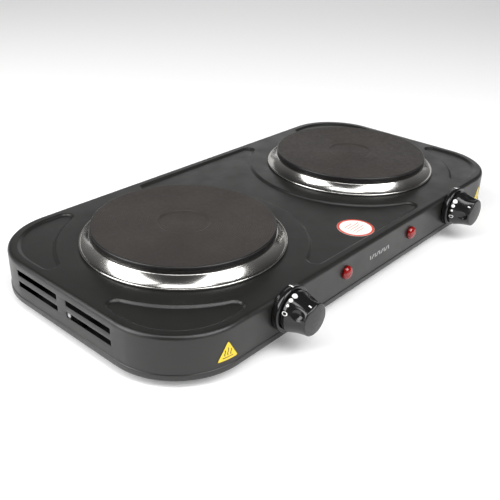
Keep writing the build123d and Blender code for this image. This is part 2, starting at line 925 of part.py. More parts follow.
def mains_terminal_block():
    """Three-way connector block on the base, with a screw hole over each wire hole."""
    width, depth, height = terminal_size
    y = terminal_y()
    body = block(terminal_size, (0, y, base_top + height / 2))
    body = fillet(body.edges().filter_by(Axis.Z), terminal_corner)
    for way in (-1, 0, 1):
        at = way * width / 3
        body -= rod(wire_radius + wire_play, y + depth, y - depth, at, wire_height())
        body -= cylinder(terminal_screw_hole, wire_height(), base_top + height + 1, at, y)
    return body


def terminal_y():
    """Depth of the mains terminal block's middle."""
    return half_width - terminal_from_rear


def wire_height():
    """Height at which the wires leave the terminal block."""
    return base_top + terminal_size[2] / 2


def earth_screw():
    """Screw and tag on the base that the earth wire goes to."""
    x = earth_screw_x
    y = terminal_y()
    tag_top = base_top + earth_tag_sheet
    tag = ring(earth_tag_radius, screw_hole, base_top, tag_top, x, y)
    nut = ring(small_nut_radius, screw_hole, tag_top, tag_top + small_nut_height, x, y)
    screw = cylinder(screw_radius, base_top, base_top + earth_screw_tip, x, y)
    return group([tag, nut, screw])


def wire(points, bend):
    """An insulated wire along straight runs joined by bends."""
    path = FilletPolyline(*points, radius=bend)
    start = Vector(*points[0])
    ahead = Vector(*points[1]) - start
    return sweep(Plane(origin=start, z_dir=ahead) * Circle(wire_radius), path=path)


def internal_wiring():
    """Live wires to the thermostats and returns from the plates."""
    y_block = terminal_y() - terminal_size[1] / 2
    z = wire_height()
    y_contacts = -half_width + thermostat_back() + wire_to_contact
    top = plate_under - cover_sheet
    y_leg = coil_radii()[0] + insulator_margin + wire_clearance
    y_past = shield_radius + wire_past_shield
    wires = []
    for side in SIDES.values():
        start_x = side * terminal_size[0] / 3
        end_x = side * knob_x
        live = [
            (start_x, y_block, z),
            (start_x, -half_width / 2, z),
            (start_x + side * wire_spread, y_contacts, z),
            (end_x, y_contacts, z),
            (end_x, y_contacts, knob_z - 2 * wire_step),
        ]
        wires.append(wire(live, wire_bend))
        leg_x = side * (plate_x + wire_step)
        heat = [
            (leg_x, y_leg, top - 0.75 * wire_step),
            (leg_x, y_past, top - 1.5 * wire_step),
            (side * (earth_screw_x + 3 * wire_step), y_past, z + wire_step),
            (side * (earth_screw_x - wire_step), y_block + wire_step, z + wire_step),
        ]
        wires.append(wire(heat, wire_bend))
    return group(wires)


def deck_label():
    """Round sticker in the middle zone, near the front."""
    floor = deck_top - zone_depth
    return cylinder(deck_label_radius, floor, floor + label_thickness, 0, deck_label_y)


def corner_label(side):
    """Three-sided sticker that follows a front corner."""
    centre_x = half_length - corner_radius
    centre_y = -(half_width - corner_radius)
    low = skirt_bottom + hem_height
    tube = ring(corner_radius + label_thickness, corner_radius, low, deck_top, centre_x, centre_y)
    height = corner_label_side * math.sqrt(3) / 2
    bottom = skirt_bottom + corner_label_height
    half = corner_label_side / 2
    triangle = make_face(
        Polyline((0, -half, bottom), (0, half, bottom), (0, 0, bottom + height), close=True)
    )
    wedge = extrude(triangle, 2 * corner_radius, dir=(1, 0, 0))
    wedge = Pos(centre_x, centre_y, 0) * Rot(0, 0, -corner_label_angle) * wedge
    label = tube & wedge
    if side < 0:
        label = mirror(label, Plane.YZ)
    return label


def build_controls(name, side):
    """The thermostat, knob and pilot lamp on one side."""
    x = side * knob_x
    save(f"{name}_thermostat_body", thermostat_body(x))
    save(f"{name}_thermostat_contacts", thermostat_contacts(x))
    save(f"{name}_thermostat_screws", thermostat_screws(x))
    save(f"{name}_thermostat_shaft", thermostat_shaft(x))
    save(f"{name}_knob_bezel", bezel(x))
    save(f"{name}_knob", knob(x, knob_mark_angles[name]))
    save(f"{name}_lamp_lens", lamp_lens(side * lamp_x))
    save(f"{name}_lamp_bulb", lamp_bulb(side * lamp_x))
    save(f"{name}_lamp_clip", lamp_clip(side * lamp_x))


def build_plate(name, side):
    """One cooking plate with everything that hangs on it."""
    x = side * plate_x
    save(f"{name}_hotplate", hotplate(x))
    save(f"{name}_trim_ring", trim_ring(x))
    save(f"{name}_heating_coil", heating_coil(x, coil_tube_radius))
    cavity = heating_coil(x, coil_tube_radius + potting_clearance)
    save(f"{name}_ceramic_potting", ceramic_potting(x, cavity))
    save(f"{name}_plate_cover", plate_cover(x))
    save(f"{name}_terminal_insulator", terminal_insulator(x))
    save(f"{name}_clamp_bracket", clamp_bracket(x))
    save(f"{name}_heat_shield", heat_shield(x))
    save(f"{name}_centre_stud", centre_stud(x))
    save(f"{name}_stud_nuts", stud_nuts(x))


def build():
    """Write every piece."""
    os.makedirs("parts", exist_ok=True)
    save("top_housing", top_housing())
    save("base_pan", base_pan())
    save("base_tabs", base_tabs())
    save("base_screws", base_screws())
    for place, (x, y) in foot_places().items():
        save(f"foot_{place}", foot(x, y))
    save("foot_screws", foot_screws())
    for name, side in SIDES.items():
        build_plate(name, side)
        build_controls(name, side)
        save(f"{name}_corner_label", corner_label(side))
    save("cord_gland", cord_gland())
    save("cord_saddle", cord_saddle())
    save("cord_clamp_bar", cord_clamp_bar())
    save("cord_clamp_screws", cord_clamp_screws())
    save("mains_terminal_block", mains_terminal_block())
    save("earth_screw", earth_screw())
    save("internal_wiring", internal_wiring())
    save("deck_label", deck_label())


build()
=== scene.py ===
# %% [markdown]
# # A twin electric hot plate
#
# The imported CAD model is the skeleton: it fixes every size, place and moving body.
# This file dresses it. Each step first says what the piece is on the real object and how
# it could be made, and then makes it in one short cell.

# %%
import json
import math

import bmesh
import bpy
from mathutils import Matrix, Vector


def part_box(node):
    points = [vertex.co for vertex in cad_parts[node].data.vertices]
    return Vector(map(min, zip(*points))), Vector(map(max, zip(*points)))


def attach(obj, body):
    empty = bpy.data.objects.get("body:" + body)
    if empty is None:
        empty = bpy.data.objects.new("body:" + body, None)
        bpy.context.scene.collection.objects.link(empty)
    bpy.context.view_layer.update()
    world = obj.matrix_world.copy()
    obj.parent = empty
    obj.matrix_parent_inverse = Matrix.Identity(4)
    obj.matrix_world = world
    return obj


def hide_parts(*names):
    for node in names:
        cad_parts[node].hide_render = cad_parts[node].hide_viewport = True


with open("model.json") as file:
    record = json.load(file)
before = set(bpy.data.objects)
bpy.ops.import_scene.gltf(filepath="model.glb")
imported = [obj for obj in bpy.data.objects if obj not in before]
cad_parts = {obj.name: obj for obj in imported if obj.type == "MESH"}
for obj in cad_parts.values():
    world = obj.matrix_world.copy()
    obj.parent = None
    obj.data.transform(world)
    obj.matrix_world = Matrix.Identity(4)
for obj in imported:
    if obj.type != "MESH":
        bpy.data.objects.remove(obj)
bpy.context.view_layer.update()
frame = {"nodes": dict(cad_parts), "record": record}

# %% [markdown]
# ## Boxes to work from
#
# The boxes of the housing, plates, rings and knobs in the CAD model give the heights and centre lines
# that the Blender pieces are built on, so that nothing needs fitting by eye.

MM = 0.001
TURN = 2 * math.pi

housing_low, housing_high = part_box("top_housing")
centre_y = (housing_low.y + housing_high.y) / 2
skirt_bottom = housing_low.z
deck_top = housing_high.z
hem_step = 0.6 * MM
half_length = (housing_high.x - housing_low.x) / 2 - hem_step
half_width = (housing_high.y - housing_low.y) / 2 - hem_step
print("housing", round(2 * half_length, 4), round(2 * half_width, 4), "deck at", round(deck_top, 4))

# %% [markdown]
# ## Small helpers for meshes
#
# Most of this object is sheet metal and turned parts, so two helpers do most of the work:
# one makes a mesh object from points and faces, and one spins an outline of
# (radius, height) points round an upright axis. The outline is walked from the top middle
# outwards and down, which makes the faces point outwards.

# %%
def new_piece(name, points, faces, material, smooth=True):
    """A mesh object at the origin, in metres, with its place in its mesh."""
    mesh = bpy.data.meshes.new(name)
    mesh.from_pydata(points, [], faces)
    mesh.materials.append(material)
    mesh.polygons.foreach_set("use_smooth", [smooth] * len(mesh.polygons))
    piece = bpy.data.objects.new(name, mesh)
    bpy.context.scene.collection.objects.link(piece)
    return piece


def tidy_mesh(piece, distance=1e-6):
    """Merge doubled points and turn every face outwards."""
    bm = bmesh.new()
    bm.from_mesh(piece.data)
    bmesh.ops.remove_doubles(bm, verts=bm.verts, dist=distance)
    bmesh.ops.recalc_face_normals(bm, faces=bm.faces)
    bm.to_mesh(piece.data)
    bm.free()
    return piece


def spun(outline, around, closed=False):
    """Points and faces of an outline of (radius, height) spun about the Z axis."""
    points = []
    for r, z in outline:
        for k in range(around):
            a = TURN * k / around
            points.append((r * math.cos(a), r * math.sin(a), z))
    rows = len(outline)
    faces = []
    for i in range(rows if closed else rows - 1):
        j = (i + 1) % rows
        for k in range(around):
            n = (k + 1) % around
            faces.append((i * around + k, j * around + k, j * around + n, i * around + n))
    return points, faces


def bend_points(centre, radius, start, end, steps):
    """Points along an arc in a plane, with angles in degrees."""
    points = []
    for i in range(steps + 1):
        a = math.radians(start + (end - start) * i / steps)
        points.append((centre[0] + radius * math.cos(a), centre[1] + radius * math.sin(a)))
    return points


def flat_normals(piece):
    """Let large flat faces set the shading beside them, as on pressed metal."""
    modifier = piece.modifiers.new("even_shading", "WEIGHTED_NORMAL")
    modifier.keep_sharp = True
    modifier.weight = 90
    return piece


# %% [markdown]
# ## Small helpers for materials
#
# Every finish is a node tree on the Principled shader. A constant is set on the shader's
# own socket; only what varies over the surface is linked. The pattern helper gives a noise
# in object coordinates, and the bump helper turns a pattern into relief of a stated height.

# %%
def finish(name, colour, metallic=0.0, roughness=0.5, **sockets):
    """A Principled material and its tree, ready for patterns."""
    material = bpy.data.materials.new(name)
    material.use_nodes = True
    shader = material.node_tree.nodes["Principled BSDF"]
    shader.inputs["Base Color"].default_value = (*colour, 1.0)
    shader.inputs["Metallic"].default_value = metallic
    shader.inputs["Roughness"].default_value = roughness
    for socket, value in sockets.items():
        shader.inputs[socket.replace("_", " ")].default_value = value
    return material


def add_node(material, kind, **inputs):
    """A node with some of its inputs set, where inputs are named with _ for a space."""
    node = material.node_tree.nodes.new(kind)
    for socket, value in inputs.items():
        node.inputs[socket.replace("_", " ")].default_value = value
    return node


def join(material, source, target):
    """Link one socket to another."""
    material.node_tree.links.new(source, target)


def object_noise(material, scale, detail=2.0, rough=0.5, stretch=(1, 1, 1)):
    """Noise in object coordinates; the scale is in cells per metre."""
    where = add_node(material, "ShaderNodeTexCoord")
    mapping = add_node(material, "ShaderNodeMapping", Scale=stretch)
    join(material, where.outputs["Object"], mapping.inputs["Vector"])
    noise = add_node(material, "ShaderNodeTexNoise", Scale=scale, Detail=detail, Roughness=rough)
    join(material, mapping.outputs["Vector"], noise.inputs["Vector"])
    return noise.outputs["Fac"]


def spread(material, value, low, high):
    """Map a 0-1 pattern to a range."""
    node = add_node(material, "ShaderNodeMapRange", From_Min=0.3, From_Max=0.7)
    node.inputs["To Min"].default_value = low
    node.inputs["To Max"].default_value = high
    join(material, value, node.inputs["Value"])
    return node.outputs["Result"]


def vary_roughness(material, scale, detail, low, high):
    """Let noise of a scale in cells per metre vary how rough the surface is."""
    shader = material.node_tree.nodes["Principled BSDF"]
    pattern = object_noise(material, scale, detail)
    join(material, spread(material, pattern, low, high), shader.inputs["Roughness"])


def vary_colour(material, pattern, dark, light):
    """Let a pattern move the colour between two shades."""
    ramp = add_node(material, "ShaderNodeValToRGB")
    ramp.color_ramp.elements[0].position = 0.35
    ramp.color_ramp.elements[1].position = 0.65
    ramp.color_ramp.elements[0].color = (*dark, 1)
    ramp.color_ramp.elements[1].color = (*light, 1)
    join(material, pattern, ramp.inputs["Fac"])
    shader = material.node_tree.nodes["Principled BSDF"]
    join(material, ramp.outputs["Color"], shader.inputs["Base Color"])


def relief(material, *grains, stretch=(1, 1, 1)):
    """Chain bumps of (cells per metre, detail, height in metres) into the shader's normal."""
    shader = material.node_tree.nodes["Principled BSDF"]
    previous = None
    for scale, detail, height in grains:
        bump = add_node(material, "ShaderNodeBump", Strength=1.0, Distance=height)
        pattern = object_noise(material, scale, detail, stretch=stretch)
        join(material, pattern, bump.inputs["Height"])
        if previous:
            join(material, previous.outputs["Normal"], bump.inputs["Normal"])
        previous = bump
    join(material, previous.outputs["Normal"], shader.inputs["Normal"])


# %% [markdown]
# ## Finishes
#
# Stove enamel is a thin black paint: nearly black, fairly glossy, with an orange-peel skin
# of a few cells per centimetre and a slow waviness that the press leaves in thin sheet.
# The cast plates have a brown-grey heat-proof coating; the side of each plate's rim is near black,
# painted shade for the shadow under the plate's edge. The rings are polished stainless.

# %%
enamel = finish("black_stove_enamel", (0.0105, 0.0105, 0.0098), roughness=0.36)
enamel.node_tree.nodes["Principled BSDF"].inputs["Specular IOR Level"].default_value = 0.5
vary_roughness(enamel, 60, 4, 0.31, 0.41)
relief(enamel, (9, 1, 0.0007), (900, 2, 0.000012))

base_paint = finish("base_paint", (0.03, 0.03, 0.03), roughness=0.5)
vary_roughness(base_paint, 40, 4, 0.42, 0.6)
relief(base_paint, (700, 2, 0.00002))

cast_iron = finish("coated_cast_iron", (0.07, 0.062, 0.056), roughness=0.55)
vary_colour(cast_iron, object_noise(cast_iron, 22, 5), (0.023, 0.019, 0.017), (0.031, 0.026, 0.023))
vary_roughness(cast_iron, 300, 4, 0.48, 0.62)
relief(cast_iron, (2600, 3, 0.00003))

polished_steel = finish("polished_stainless", (0.5, 0.49, 0.47), metallic=1.0, roughness=0.2)
vary_roughness(polished_steel, 14, 2, 0.15, 0.2)
relief(polished_steel, (12, 1, 0.00003))

# Near-black finish for the side of a plate's rim: painted shade, darker than the plate's top.
plate_side_painted_shade = finish("plate_edge_painted_shade", (0.008, 0.007, 0.007), roughness=0.34)
vary_roughness(plate_side_painted_shade, 300, 4, 0.28, 0.4)
relief(plate_side_painted_shade, (2600, 3, 0.00002))

plain_steel = finish("zinc_plated_steel", (0.55, 0.55, 0.56), metallic=1.0, roughness=0.35)
vary_roughness(plain_steel, 300, 4, 0.28, 0.45)
relief(plain_steel, (2000, 2, 0.00001))
print("metal finishes made")

# %% [markdown]
# The knobs and bezels are glossy black phenolic; the face of a knob is moulded slightly
# matte. The lamp lenses are red polycarbonate, clear enough to show depth. The prints and
# stickers are plain films and inks.

# %%
gloss_black = finish("gloss_black_phenolic", (0.008, 0.008, 0.008), roughness=0.13)
vary_roughness(gloss_black, 200, 3, 0.10, 0.17)
relief(gloss_black, (150, 2, 0.00003))

satin_black = finish("satin_black_phenolic", (0.02, 0.02, 0.02), roughness=0.42)
vary_roughness(satin_black, 500, 3, 0.36, 0.5)
relief(satin_black, (3000, 2, 0.00002))

red_lens = finish(
    "red_polycarbonate", (0.36, 0.004, 0.003), roughness=0.08, IOR=1.58, Transmission_Weight=0.35
)
relief(red_lens, (400, 1, 0.00002))

white_ink = finish("white_ink", (0.82, 0.82, 0.8), roughness=0.5)
vary_roughness(white_ink, 3000, 2, 0.42, 0.6)
dark_ink = finish("dark_ink", (0.05, 0.035, 0.01), roughness=0.5)
vary_roughness(dark_ink, 3000, 2, 0.42, 0.6)
red_ink = finish("red_ink", (0.62, 0.06, 0.03), roughness=0.45)
vary_roughness(red_ink, 3000, 2, 0.38, 0.55)
faint_red_ink = finish("faint_red_ink", (0.72, 0.25, 0.18), roughness=0.45)
vary_roughness(faint_red_ink, 3000, 2, 0.38, 0.55)
grey_ink = finish("light_grey_ink", (0.5, 0.5, 0.5), roughness=0.45)
vary_roughness(grey_ink, 3000, 2, 0.38, 0.55)
yellow_film = finish("yellow_film", (0.85, 0.62, 0.03), roughness=0.4)
vary_roughness(yellow_film, 500, 2, 0.34, 0.48)
white_film = finish("white_film", (0.88, 0.86, 0.84), roughness=0.4)
vary_roughness(white_film, 500, 2, 0.34, 0.48)

rubber = finish("foot_rubber", (0.015, 0.015, 0.015), roughness=0.8)
relief(rubber, (2500, 3, 0.00006))
nylon = finish("black_nylon", (0.02, 0.02, 0.02), roughness=0.5)
relief(nylon, (2500, 2, 0.00002))
print("plastic, ink and rubber finishes made")

# %% [markdown]
# ## The pieces that stay as CAD
#
# Feet, base plate, gland and everything inside are right as they are, so they keep their
# CAD mesh and only take a finish.

# %%
porcelain = finish("porcelain", (0.8, 0.78, 0.72), roughness=0.25)
vary_roughness(porcelain, 300, 3, 0.18, 0.35)
magnesia = finish("magnesia", (0.7, 0.66, 0.58), roughness=0.9)
relief(magnesia, (1200, 4, 0.0001))
oxidised = finish("oxidised_sheath", (0.2, 0.17, 0.15), metallic=1.0, roughness=0.5)
vary_roughness(oxidised, 200, 4, 0.4, 0.65)
aluminised = finish("aluminised_sheet", (0.6, 0.6, 0.6), metallic=1.0, roughness=0.4)
vary_roughness(aluminised, 150, 4, 0.32, 0.5)
brown_case = finish("brown_phenolic", (0.1, 0.05, 0.03), roughness=0.45)
relief(brown_case, (1500, 2, 0.00003))
brass = finish("bright_brass", (0.75, 0.55, 0.25), metallic=1.0, roughness=0.3)
vary_roughness(brass, 500, 3, 0.22, 0.4)
bulb_glass = finish("bulb_glass", (1.0, 0.75, 0.6), roughness=0.05, Transmission_Weight=0.9)
relief(bulb_glass, (300, 1, 0.00001))
white_nylon = finish("white_nylon", (0.75, 0.75, 0.72), roughness=0.5)
relief(white_nylon, (2500, 2, 0.00002))
sleeve = finish("glass_fibre_sleeve", (0.75, 0.74, 0.7), roughness=0.8)
relief(sleeve, (3000, 2, 0.0001), stretch=(1, 1, 3))

slot_finish = {
    "black_enamel": enamel,
    "base_steel": base_paint,
    "cast_iron": cast_iron,
    "polished_steel": polished_steel,
    "plain_steel": plain_steel,
    "coil_sheath": oxidised,
    "magnesia": magnesia,
    "porcelain": porcelain,
    "aluminised": aluminised,
    "knob_plastic": gloss_black,
    "thermostat_case": brown_case,
    "contact_brass": brass,
    "red_lens": red_lens,
    "bulb_glass": bulb_glass,
    "foot_rubber": rubber,
    "black_nylon": nylon,
    "white_nylon": white_nylon,
    "wire_sleeve": sleeve,
    "yellow_label": yellow_film,
    "white_label": white_film,
}
for part in frame["record"]["subparts"]:
    node = frame["nodes"][part["node"]]
    node.data.materials.clear()
    node.data.materials.append(slot_finish[part["material_slot"]])

# %% [markdown]
# ## The housing's plan
#
# The housing is a rounded rectangle in plan, pressed from one sheet. Every level of its
# skirt is the same loop moved inwards or outwards, so one function gives the loop at any
# offset and height, and the skirt is quads between neighbouring loops.

# %%
corner_radius = 60 * MM
edge_radius = 3.5 * MM
hem_height = 4.5 * MM
CORNER_STEPS = 24
LOOP = 4 * (CORNER_STEPS + 1)


def plan_loop(inward, height):
    """The rounded plan, moved inwards, as a ring of points at one height."""
    ring = []
    for sx, sy, start in ((1, 1, 0), (-1, 1, 90), (-1, -1, 180), (1, -1, 270)):
        middle = (sx * (half_length - corner_radius), sy * (half_width - corner_radius))
        for x, y in bend_points(middle, corner_radius - inward, start, start + 90, CORNER_STEPS):
            ring.append((x, y + centre_y, height))
    return ring


def skirt_levels():
    """(inward, height) of each loop from the bottom edge up over the rounded deck edge."""
    ledge = skirt_bottom + hem_height
    levels = [
        (-hem_step, skirt_bottom),
        (-hem_step, ledge - 0.35 * MM),
        (-0.8 * hem_step, ledge - 0.05 * MM),
        (-0.2 * hem_step, ledge + 0.1 * MM),
        (0.0, ledge + 0.5 * MM),
    ]
    for i in range(9):
        a = math.pi / 2 * i / 8
        rise = deck_top - edge_radius + edge_radius * math.sin(a)
        levels.append((edge_radius * (1 - math.cos(a)), rise))
    return levels


print("loops in the skirt:", len(skirt_levels()))

# %% [markdown]
# ## The pressed zones
#
# Five shallow zones are pressed into the deck: one in each corner and a waisted one between
# the plates. Their curved sides keep an even distance from the trim rings and their tips
# are round, so each outline is a chain of arcs that can be moved inwards like the plan.
# The wall of a pressing is a soft S, made from a stack of these outlines.

# %%
zone_inset = 8.5 * MM
zone_tip = 7.5 * MM
zone_depth = 1.8 * MM
ring_low, ring_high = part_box("right_trim_ring")
plate_x = (ring_low.x + ring_high.x) / 2
ring_outer = (ring_high.x - ring_low.x) / 2
zone_radius = ring_outer + 18 * MM
tip_rise = half_width - zone_inset - zone_tip
tip_run = math.sqrt((zone_radius + zone_tip) ** 2 - tip_rise**2)
end_run = half_length - zone_inset - zone_tip - plate_x
end_rise = math.sqrt((zone_radius + zone_tip) ** 2 - end_run**2)


def chain(*arcs):
    """Arcs joined into one closed outline, with the point where two arcs meet kept once."""
    points = [p for bend in arcs for p in bend]
    return [p for k, p in enumerate(points) if math.dist(p, points[k - 1]) > 1e-7]


def corner_outline(inward):
    """Rear right zone, about the middle of the housing."""
    edge_x = half_length - zone_inset - inward
    edge_y = half_width - zone_inset - inward
    tip = zone_tip - inward
    bend = corner_radius - zone_inset - inward
    end_angle = math.degrees(math.atan2(end_rise, end_run))
    side_angle = math.degrees(math.atan2(tip_rise, tip_run))
    return chain(
        bend_points((plate_x, 0), zone_radius + inward, side_angle, end_angle, 30),
        bend_points((edge_x - tip, end_rise), tip, 180 + end_angle, 360, 12),
        bend_points((edge_x - bend, edge_y - bend), bend, 0, 90, 24),
        bend_points((plate_x + tip_run, edge_y - tip), tip, 90, 180 + side_angle, 12),
    )


def middle_outline(inward):
    """The waisted zone between the plates, about the middle of the housing."""
    edge_y = half_width - zone_inset - inward
    tip = zone_tip - inward
    tip_x = plate_x - tip_run
    lean = math.degrees(math.atan2(tip_rise, tip_run))
    waist = zone_radius + inward
    return chain(
        bend_points((-tip_x, edge_y - tip), tip, 90, 180 + lean, 12),
        bend_points((-plate_x, 0), waist, lean, -lean, 60),
        bend_points((-tip_x, tip - edge_y), tip, 180 - lean, 270, 12),
        bend_points((tip_x, tip - edge_y), tip, -90, lean, 12),
        bend_points((plate_x, 0), waist, 180 + lean, 180 - lean, 60),
        bend_points((tip_x, edge_y - tip), tip, -lean, 90, 12),
    )


def zone_stack(outline, sx=1, sy=1, steps=10, wall_run=3.4 * MM):
    """Rings of points down the S-shaped wall of one zone."""
    rings = []
    for i in range(steps + 1):
        share = i / steps
        inward = -0.9 * MM + wall_run * share
        drop = zone_depth * share * share * (3 - 2 * share)
        rings.append([(sx * x, sy * y + centre_y, deck_top - drop) for x, y in outline(inward)])
    return rings


print("zone radius", round(zone_radius, 4), "tip run", round(tip_run, 4))

# %% [markdown]
# ## The housing
#
# The outer skin is built loop by loop; the flat stretches with holes in them (the deck round
# the plates and zones, and the end walls with their vents) are filled as flat panels with
# holes. A Solidify modifier then gives the sheet its thickness inwards, which also
# turns the edge of every hole.

# %%
vent_length = 52 * MM
vent_height = 5.0 * MM
vent_corner = 0.8 * MM
vent_pitch = 10 * MM
vent_middle = skirt_bottom + 21.5 * MM
vent_gap = 11 * MM
vent_shift = 4.5 * MM
sheet = 0.8 * MM
opening_radius = ring_outer - 5 * MM
OPENING_STEPS = 96
WALL_ROW = 4


def vent_outline(along, height):
    """A slot's outline in an end wall as (y, z) points."""
    points = []
    reach = vent_length / 2 - vent_corner
    rise = vent_height / 2 - vent_corner
    for sy, sz, start in ((1, 1, 0), (-1, 1, 90), (-1, -1, 180), (1, -1, 270)):
        middle = (along + sy * reach, height + sz * rise)
        points += bend_points(middle, vent_corner, start, start + 90, 4)
    return points


def end_wall(y):
    """How far out an end wall is at y: flat in the middle, bent near the corners."""
    past = max(0.0, abs(y - centre_y) - (half_width - corner_radius))
    return half_length - corner_radius + math.sqrt(corner_radius**2 - past**2)


def add_loop(bm, points):
    """Vertices of one loop."""
    return [bm.verts.new(p) for p in points]


def stitch(bm, lower, upper):
    """Quads between two loops of the same length."""
    count = len(lower)
    for k in range(count):
        n = (k + 1) % count
        bm.faces.new((lower[k], lower[n], upper[n], upper[k]))


def loop_edges(bm, loop):
    """The closed chain of edges round a loop, made where it isn't there yet."""
    edges = []
    for k, vert in enumerate(loop):
        after = loop[(k + 1) % len(loop)]
        edges.append(bm.edges.get((vert, after)) or bm.edges.new((vert, after)))
    return edges


def fill_panel(bm, loops, normal):
    """A flat panel between an outer loop and the loops of its holes."""
    edges = [edge for loop in loops for edge in loop_edges(bm, loop)]
    filled = bmesh.ops.triangle_fill(
        bm, use_beauty=True, use_dissolve=False, edges=edges, normal=normal
    )
    print("panel with", len(loops) - 1, "holes:", len(filled["geom"]), "parts")


def housing_skin():
    """The outer skin of the housing."""
    bm = bmesh.new()
    loops = [add_loop(bm, plan_loop(inward, z)) for inward, z in skirt_levels()]
    skipped = set()
    panels = {2 * (CORNER_STEPS + 1) - 1: -1, LOOP - 1: 1}
    spans = {side: [(k + i) % LOOP for i in range(-3, 5)] for k, side in panels.items()}
    for span in spans.values():
        skipped.update(span[:-1])
    for row in range(len(loops) - 1):
        lower, upper = loops[row], loops[row + 1]
        for k in range(LOOP):
            n = (k + 1) % LOOP
            if row == WALL_ROW and k in skipped:
                continue
            bm.faces.new((lower[k], lower[n], upper[n], upper[k]))
    for side, span in spans.items():
        frame_loop = [loops[WALL_ROW][k] for k in span]
        frame_loop += [loops[WALL_ROW + 1][k] for k in reversed(span)]
        holes = []
        for along in (-1, 1):
            for row in (-1, 1):
                outline = vent_outline(
                    centre_y + vent_shift + along * (vent_gap + vent_length) / 2,
                    vent_middle + row * vent_pitch / 2,
                )
                holes.append(add_loop(bm, [(side * end_wall(y), y, z) for y, z in outline]))
        fill_panel(bm, [frame_loop] + holes, (side, 0, 0))
    deck_loops = [loops[-1]]
    floors = []
    stacks = [zone_stack(middle_outline)]
    for sx in (-1, 1):
        for sy in (-1, 1):
            stacks.append(zone_stack(corner_outline, sx, sy))
    for stack in stacks:
        rings = [add_loop(bm, ring) for ring in stack]
        for upper, lower in zip(rings, rings[1:]):
            stitch(bm, upper, lower)
        deck_loops.append(rings[0])
        floors.append(rings[-1])
    for side in (-1, 1):
        points = []
        for k in range(OPENING_STEPS):
            a = TURN * k / OPENING_STEPS
            x = side * plate_x + opening_radius * math.cos(a)
            points.append((x, centre_y + opening_radius * math.sin(a), deck_top))
        deck_loops.append(add_loop(bm, points))
    fill_panel(bm, deck_loops, (0, 0, 1))
    for floor in floors:
        fill_panel(bm, [floor], (0, 0, 1))
    bmesh.ops.recalc_face_normals(bm, faces=bm.faces)
    highest = max(bm.faces, key=lambda f: f.calc_center_median().z + f.calc_area())
    if highest.normal.z < 0:
        bmesh.ops.reverse_faces(bm, faces=bm.faces)
    mesh = bpy.data.meshes.new("housing_shell")
    bm.to_mesh(mesh)
    bm.free()
    return mesh


housing_mesh = housing_skin()
housing_mesh.materials.append(enamel)
housing_mesh.polygons.foreach_set("use_smooth", [True] * len(housing_mesh.polygons))
housing = bpy.data.objects.new("housing_shell", housing_mesh)
bpy.context.scene.collection.objects.link(housing)
thick = housing.modifiers.new("sheet_thickness", "SOLIDIFY")
thick.thickness = sheet
thick.offset = -1
flat_normals(housing)
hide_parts("top_housing")
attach(housing, "housing")
print("housing faces", len(housing_mesh.polygons))

# %% [markdown]
# ## A way to write Geometry Nodes
#
# What follows a rule is grown by a node tree: the turned plates, the scale on the knobs and
# the screws. These helpers make a tree with named inputs, wire its maths, run it once and
# keep the result as a plain mesh, so that nothing live is left in the finished object.

# %%
SOCKETS = {float: "NodeSocketFloat", int: "NodeSocketInt", bpy.types.Material: "NodeSocketMaterial"}


def new_tree(name, inputs):
    """A Geometry Nodes tree with named inputs; inputs maps each name to its default."""
    tree = bpy.data.node_groups.new(name, "GeometryNodeTree")
    tree.interface.new_socket("Geometry", in_out="INPUT", socket_type="NodeSocketGeometry")
    tree.interface.new_socket("Geometry", in_out="OUTPUT", socket_type="NodeSocketGeometry")
    for label, default in inputs.items():
        kind = next(SOCKETS[t] for t in SOCKETS if isinstance(default, t))
        socket = tree.interface.new_socket(label, in_out="INPUT", socket_type=kind)
        socket.default_value = default
    tree.nodes.new("NodeGroupInput")
    tree.nodes.new("NodeGroupOutput")
    return tree


def tree_input(tree, label):
    """The socket that carries one of the tree's inputs."""
    return tree.nodes["Group Input"].outputs[label]


def grow_node(tree, kind, **links):
    """A node whose inputs are set to numbers or linked to sockets."""
    node = tree.nodes.new(kind)
    for label, value in links.items():
        plug(tree, node.inputs[label.replace("_", " ")], value)
    return node


def plug(tree, socket, value):
    """Set a socket to a number, or link it from another socket."""
    if isinstance(value, bpy.types.NodeSocket):
        tree.links.new(value, socket)
    else:
        socket.default_value = value


def maths(tree, operation, *values):
    """One arithmetic node."""
    node = tree.nodes.new("ShaderNodeMath")
    node.operation = operation
    for socket, value in zip(node.inputs, values):
        plug(tree, socket, value)
    return node.outputs[0]


def end_tree(tree, geometry, material):
    """Realise the result, give it its material and put it out."""
    real = grow_node(tree, "GeometryNodeRealizeInstances", Geometry=geometry)
    dressed = grow_node(
        tree, "GeometryNodeSetMaterial", Geometry=real.outputs[0], Material=material
    )
    tree.links.new(dressed.outputs[0], tree.nodes["Group Output"].inputs[0])


def grown(name, tree, settings, start=None):
    """Run a tree once on a mesh and keep the result as a plain mesh object."""
    seed = bpy.data.objects.new(name + "_seed", start or bpy.data.meshes.new(name + "_seed"))
    bpy.context.scene.collection.objects.link(seed)
    modifier = seed.modifiers.new("grow", "NODES")
    modifier.node_group = tree
    for item in tree.interface.items_tree:
        if item.in_out == "INPUT" and item.name in settings:
            modifier[item.identifier] = settings[item.name]
    bpy.context.view_layer.update()
    graph = bpy.context.evaluated_depsgraph_get()
    mesh = bpy.data.meshes.new_from_object(seed.evaluated_get(graph), depsgraph=graph)
    mesh.name = name
    bpy.data.objects.remove(seed)
    piece = bpy.data.objects.new(name, mesh)
    bpy.context.scene.collection.objects.link(piece)
    mesh.polygons.foreach_set("use_smooth", [True] * len(mesh.polygons))
    return piece
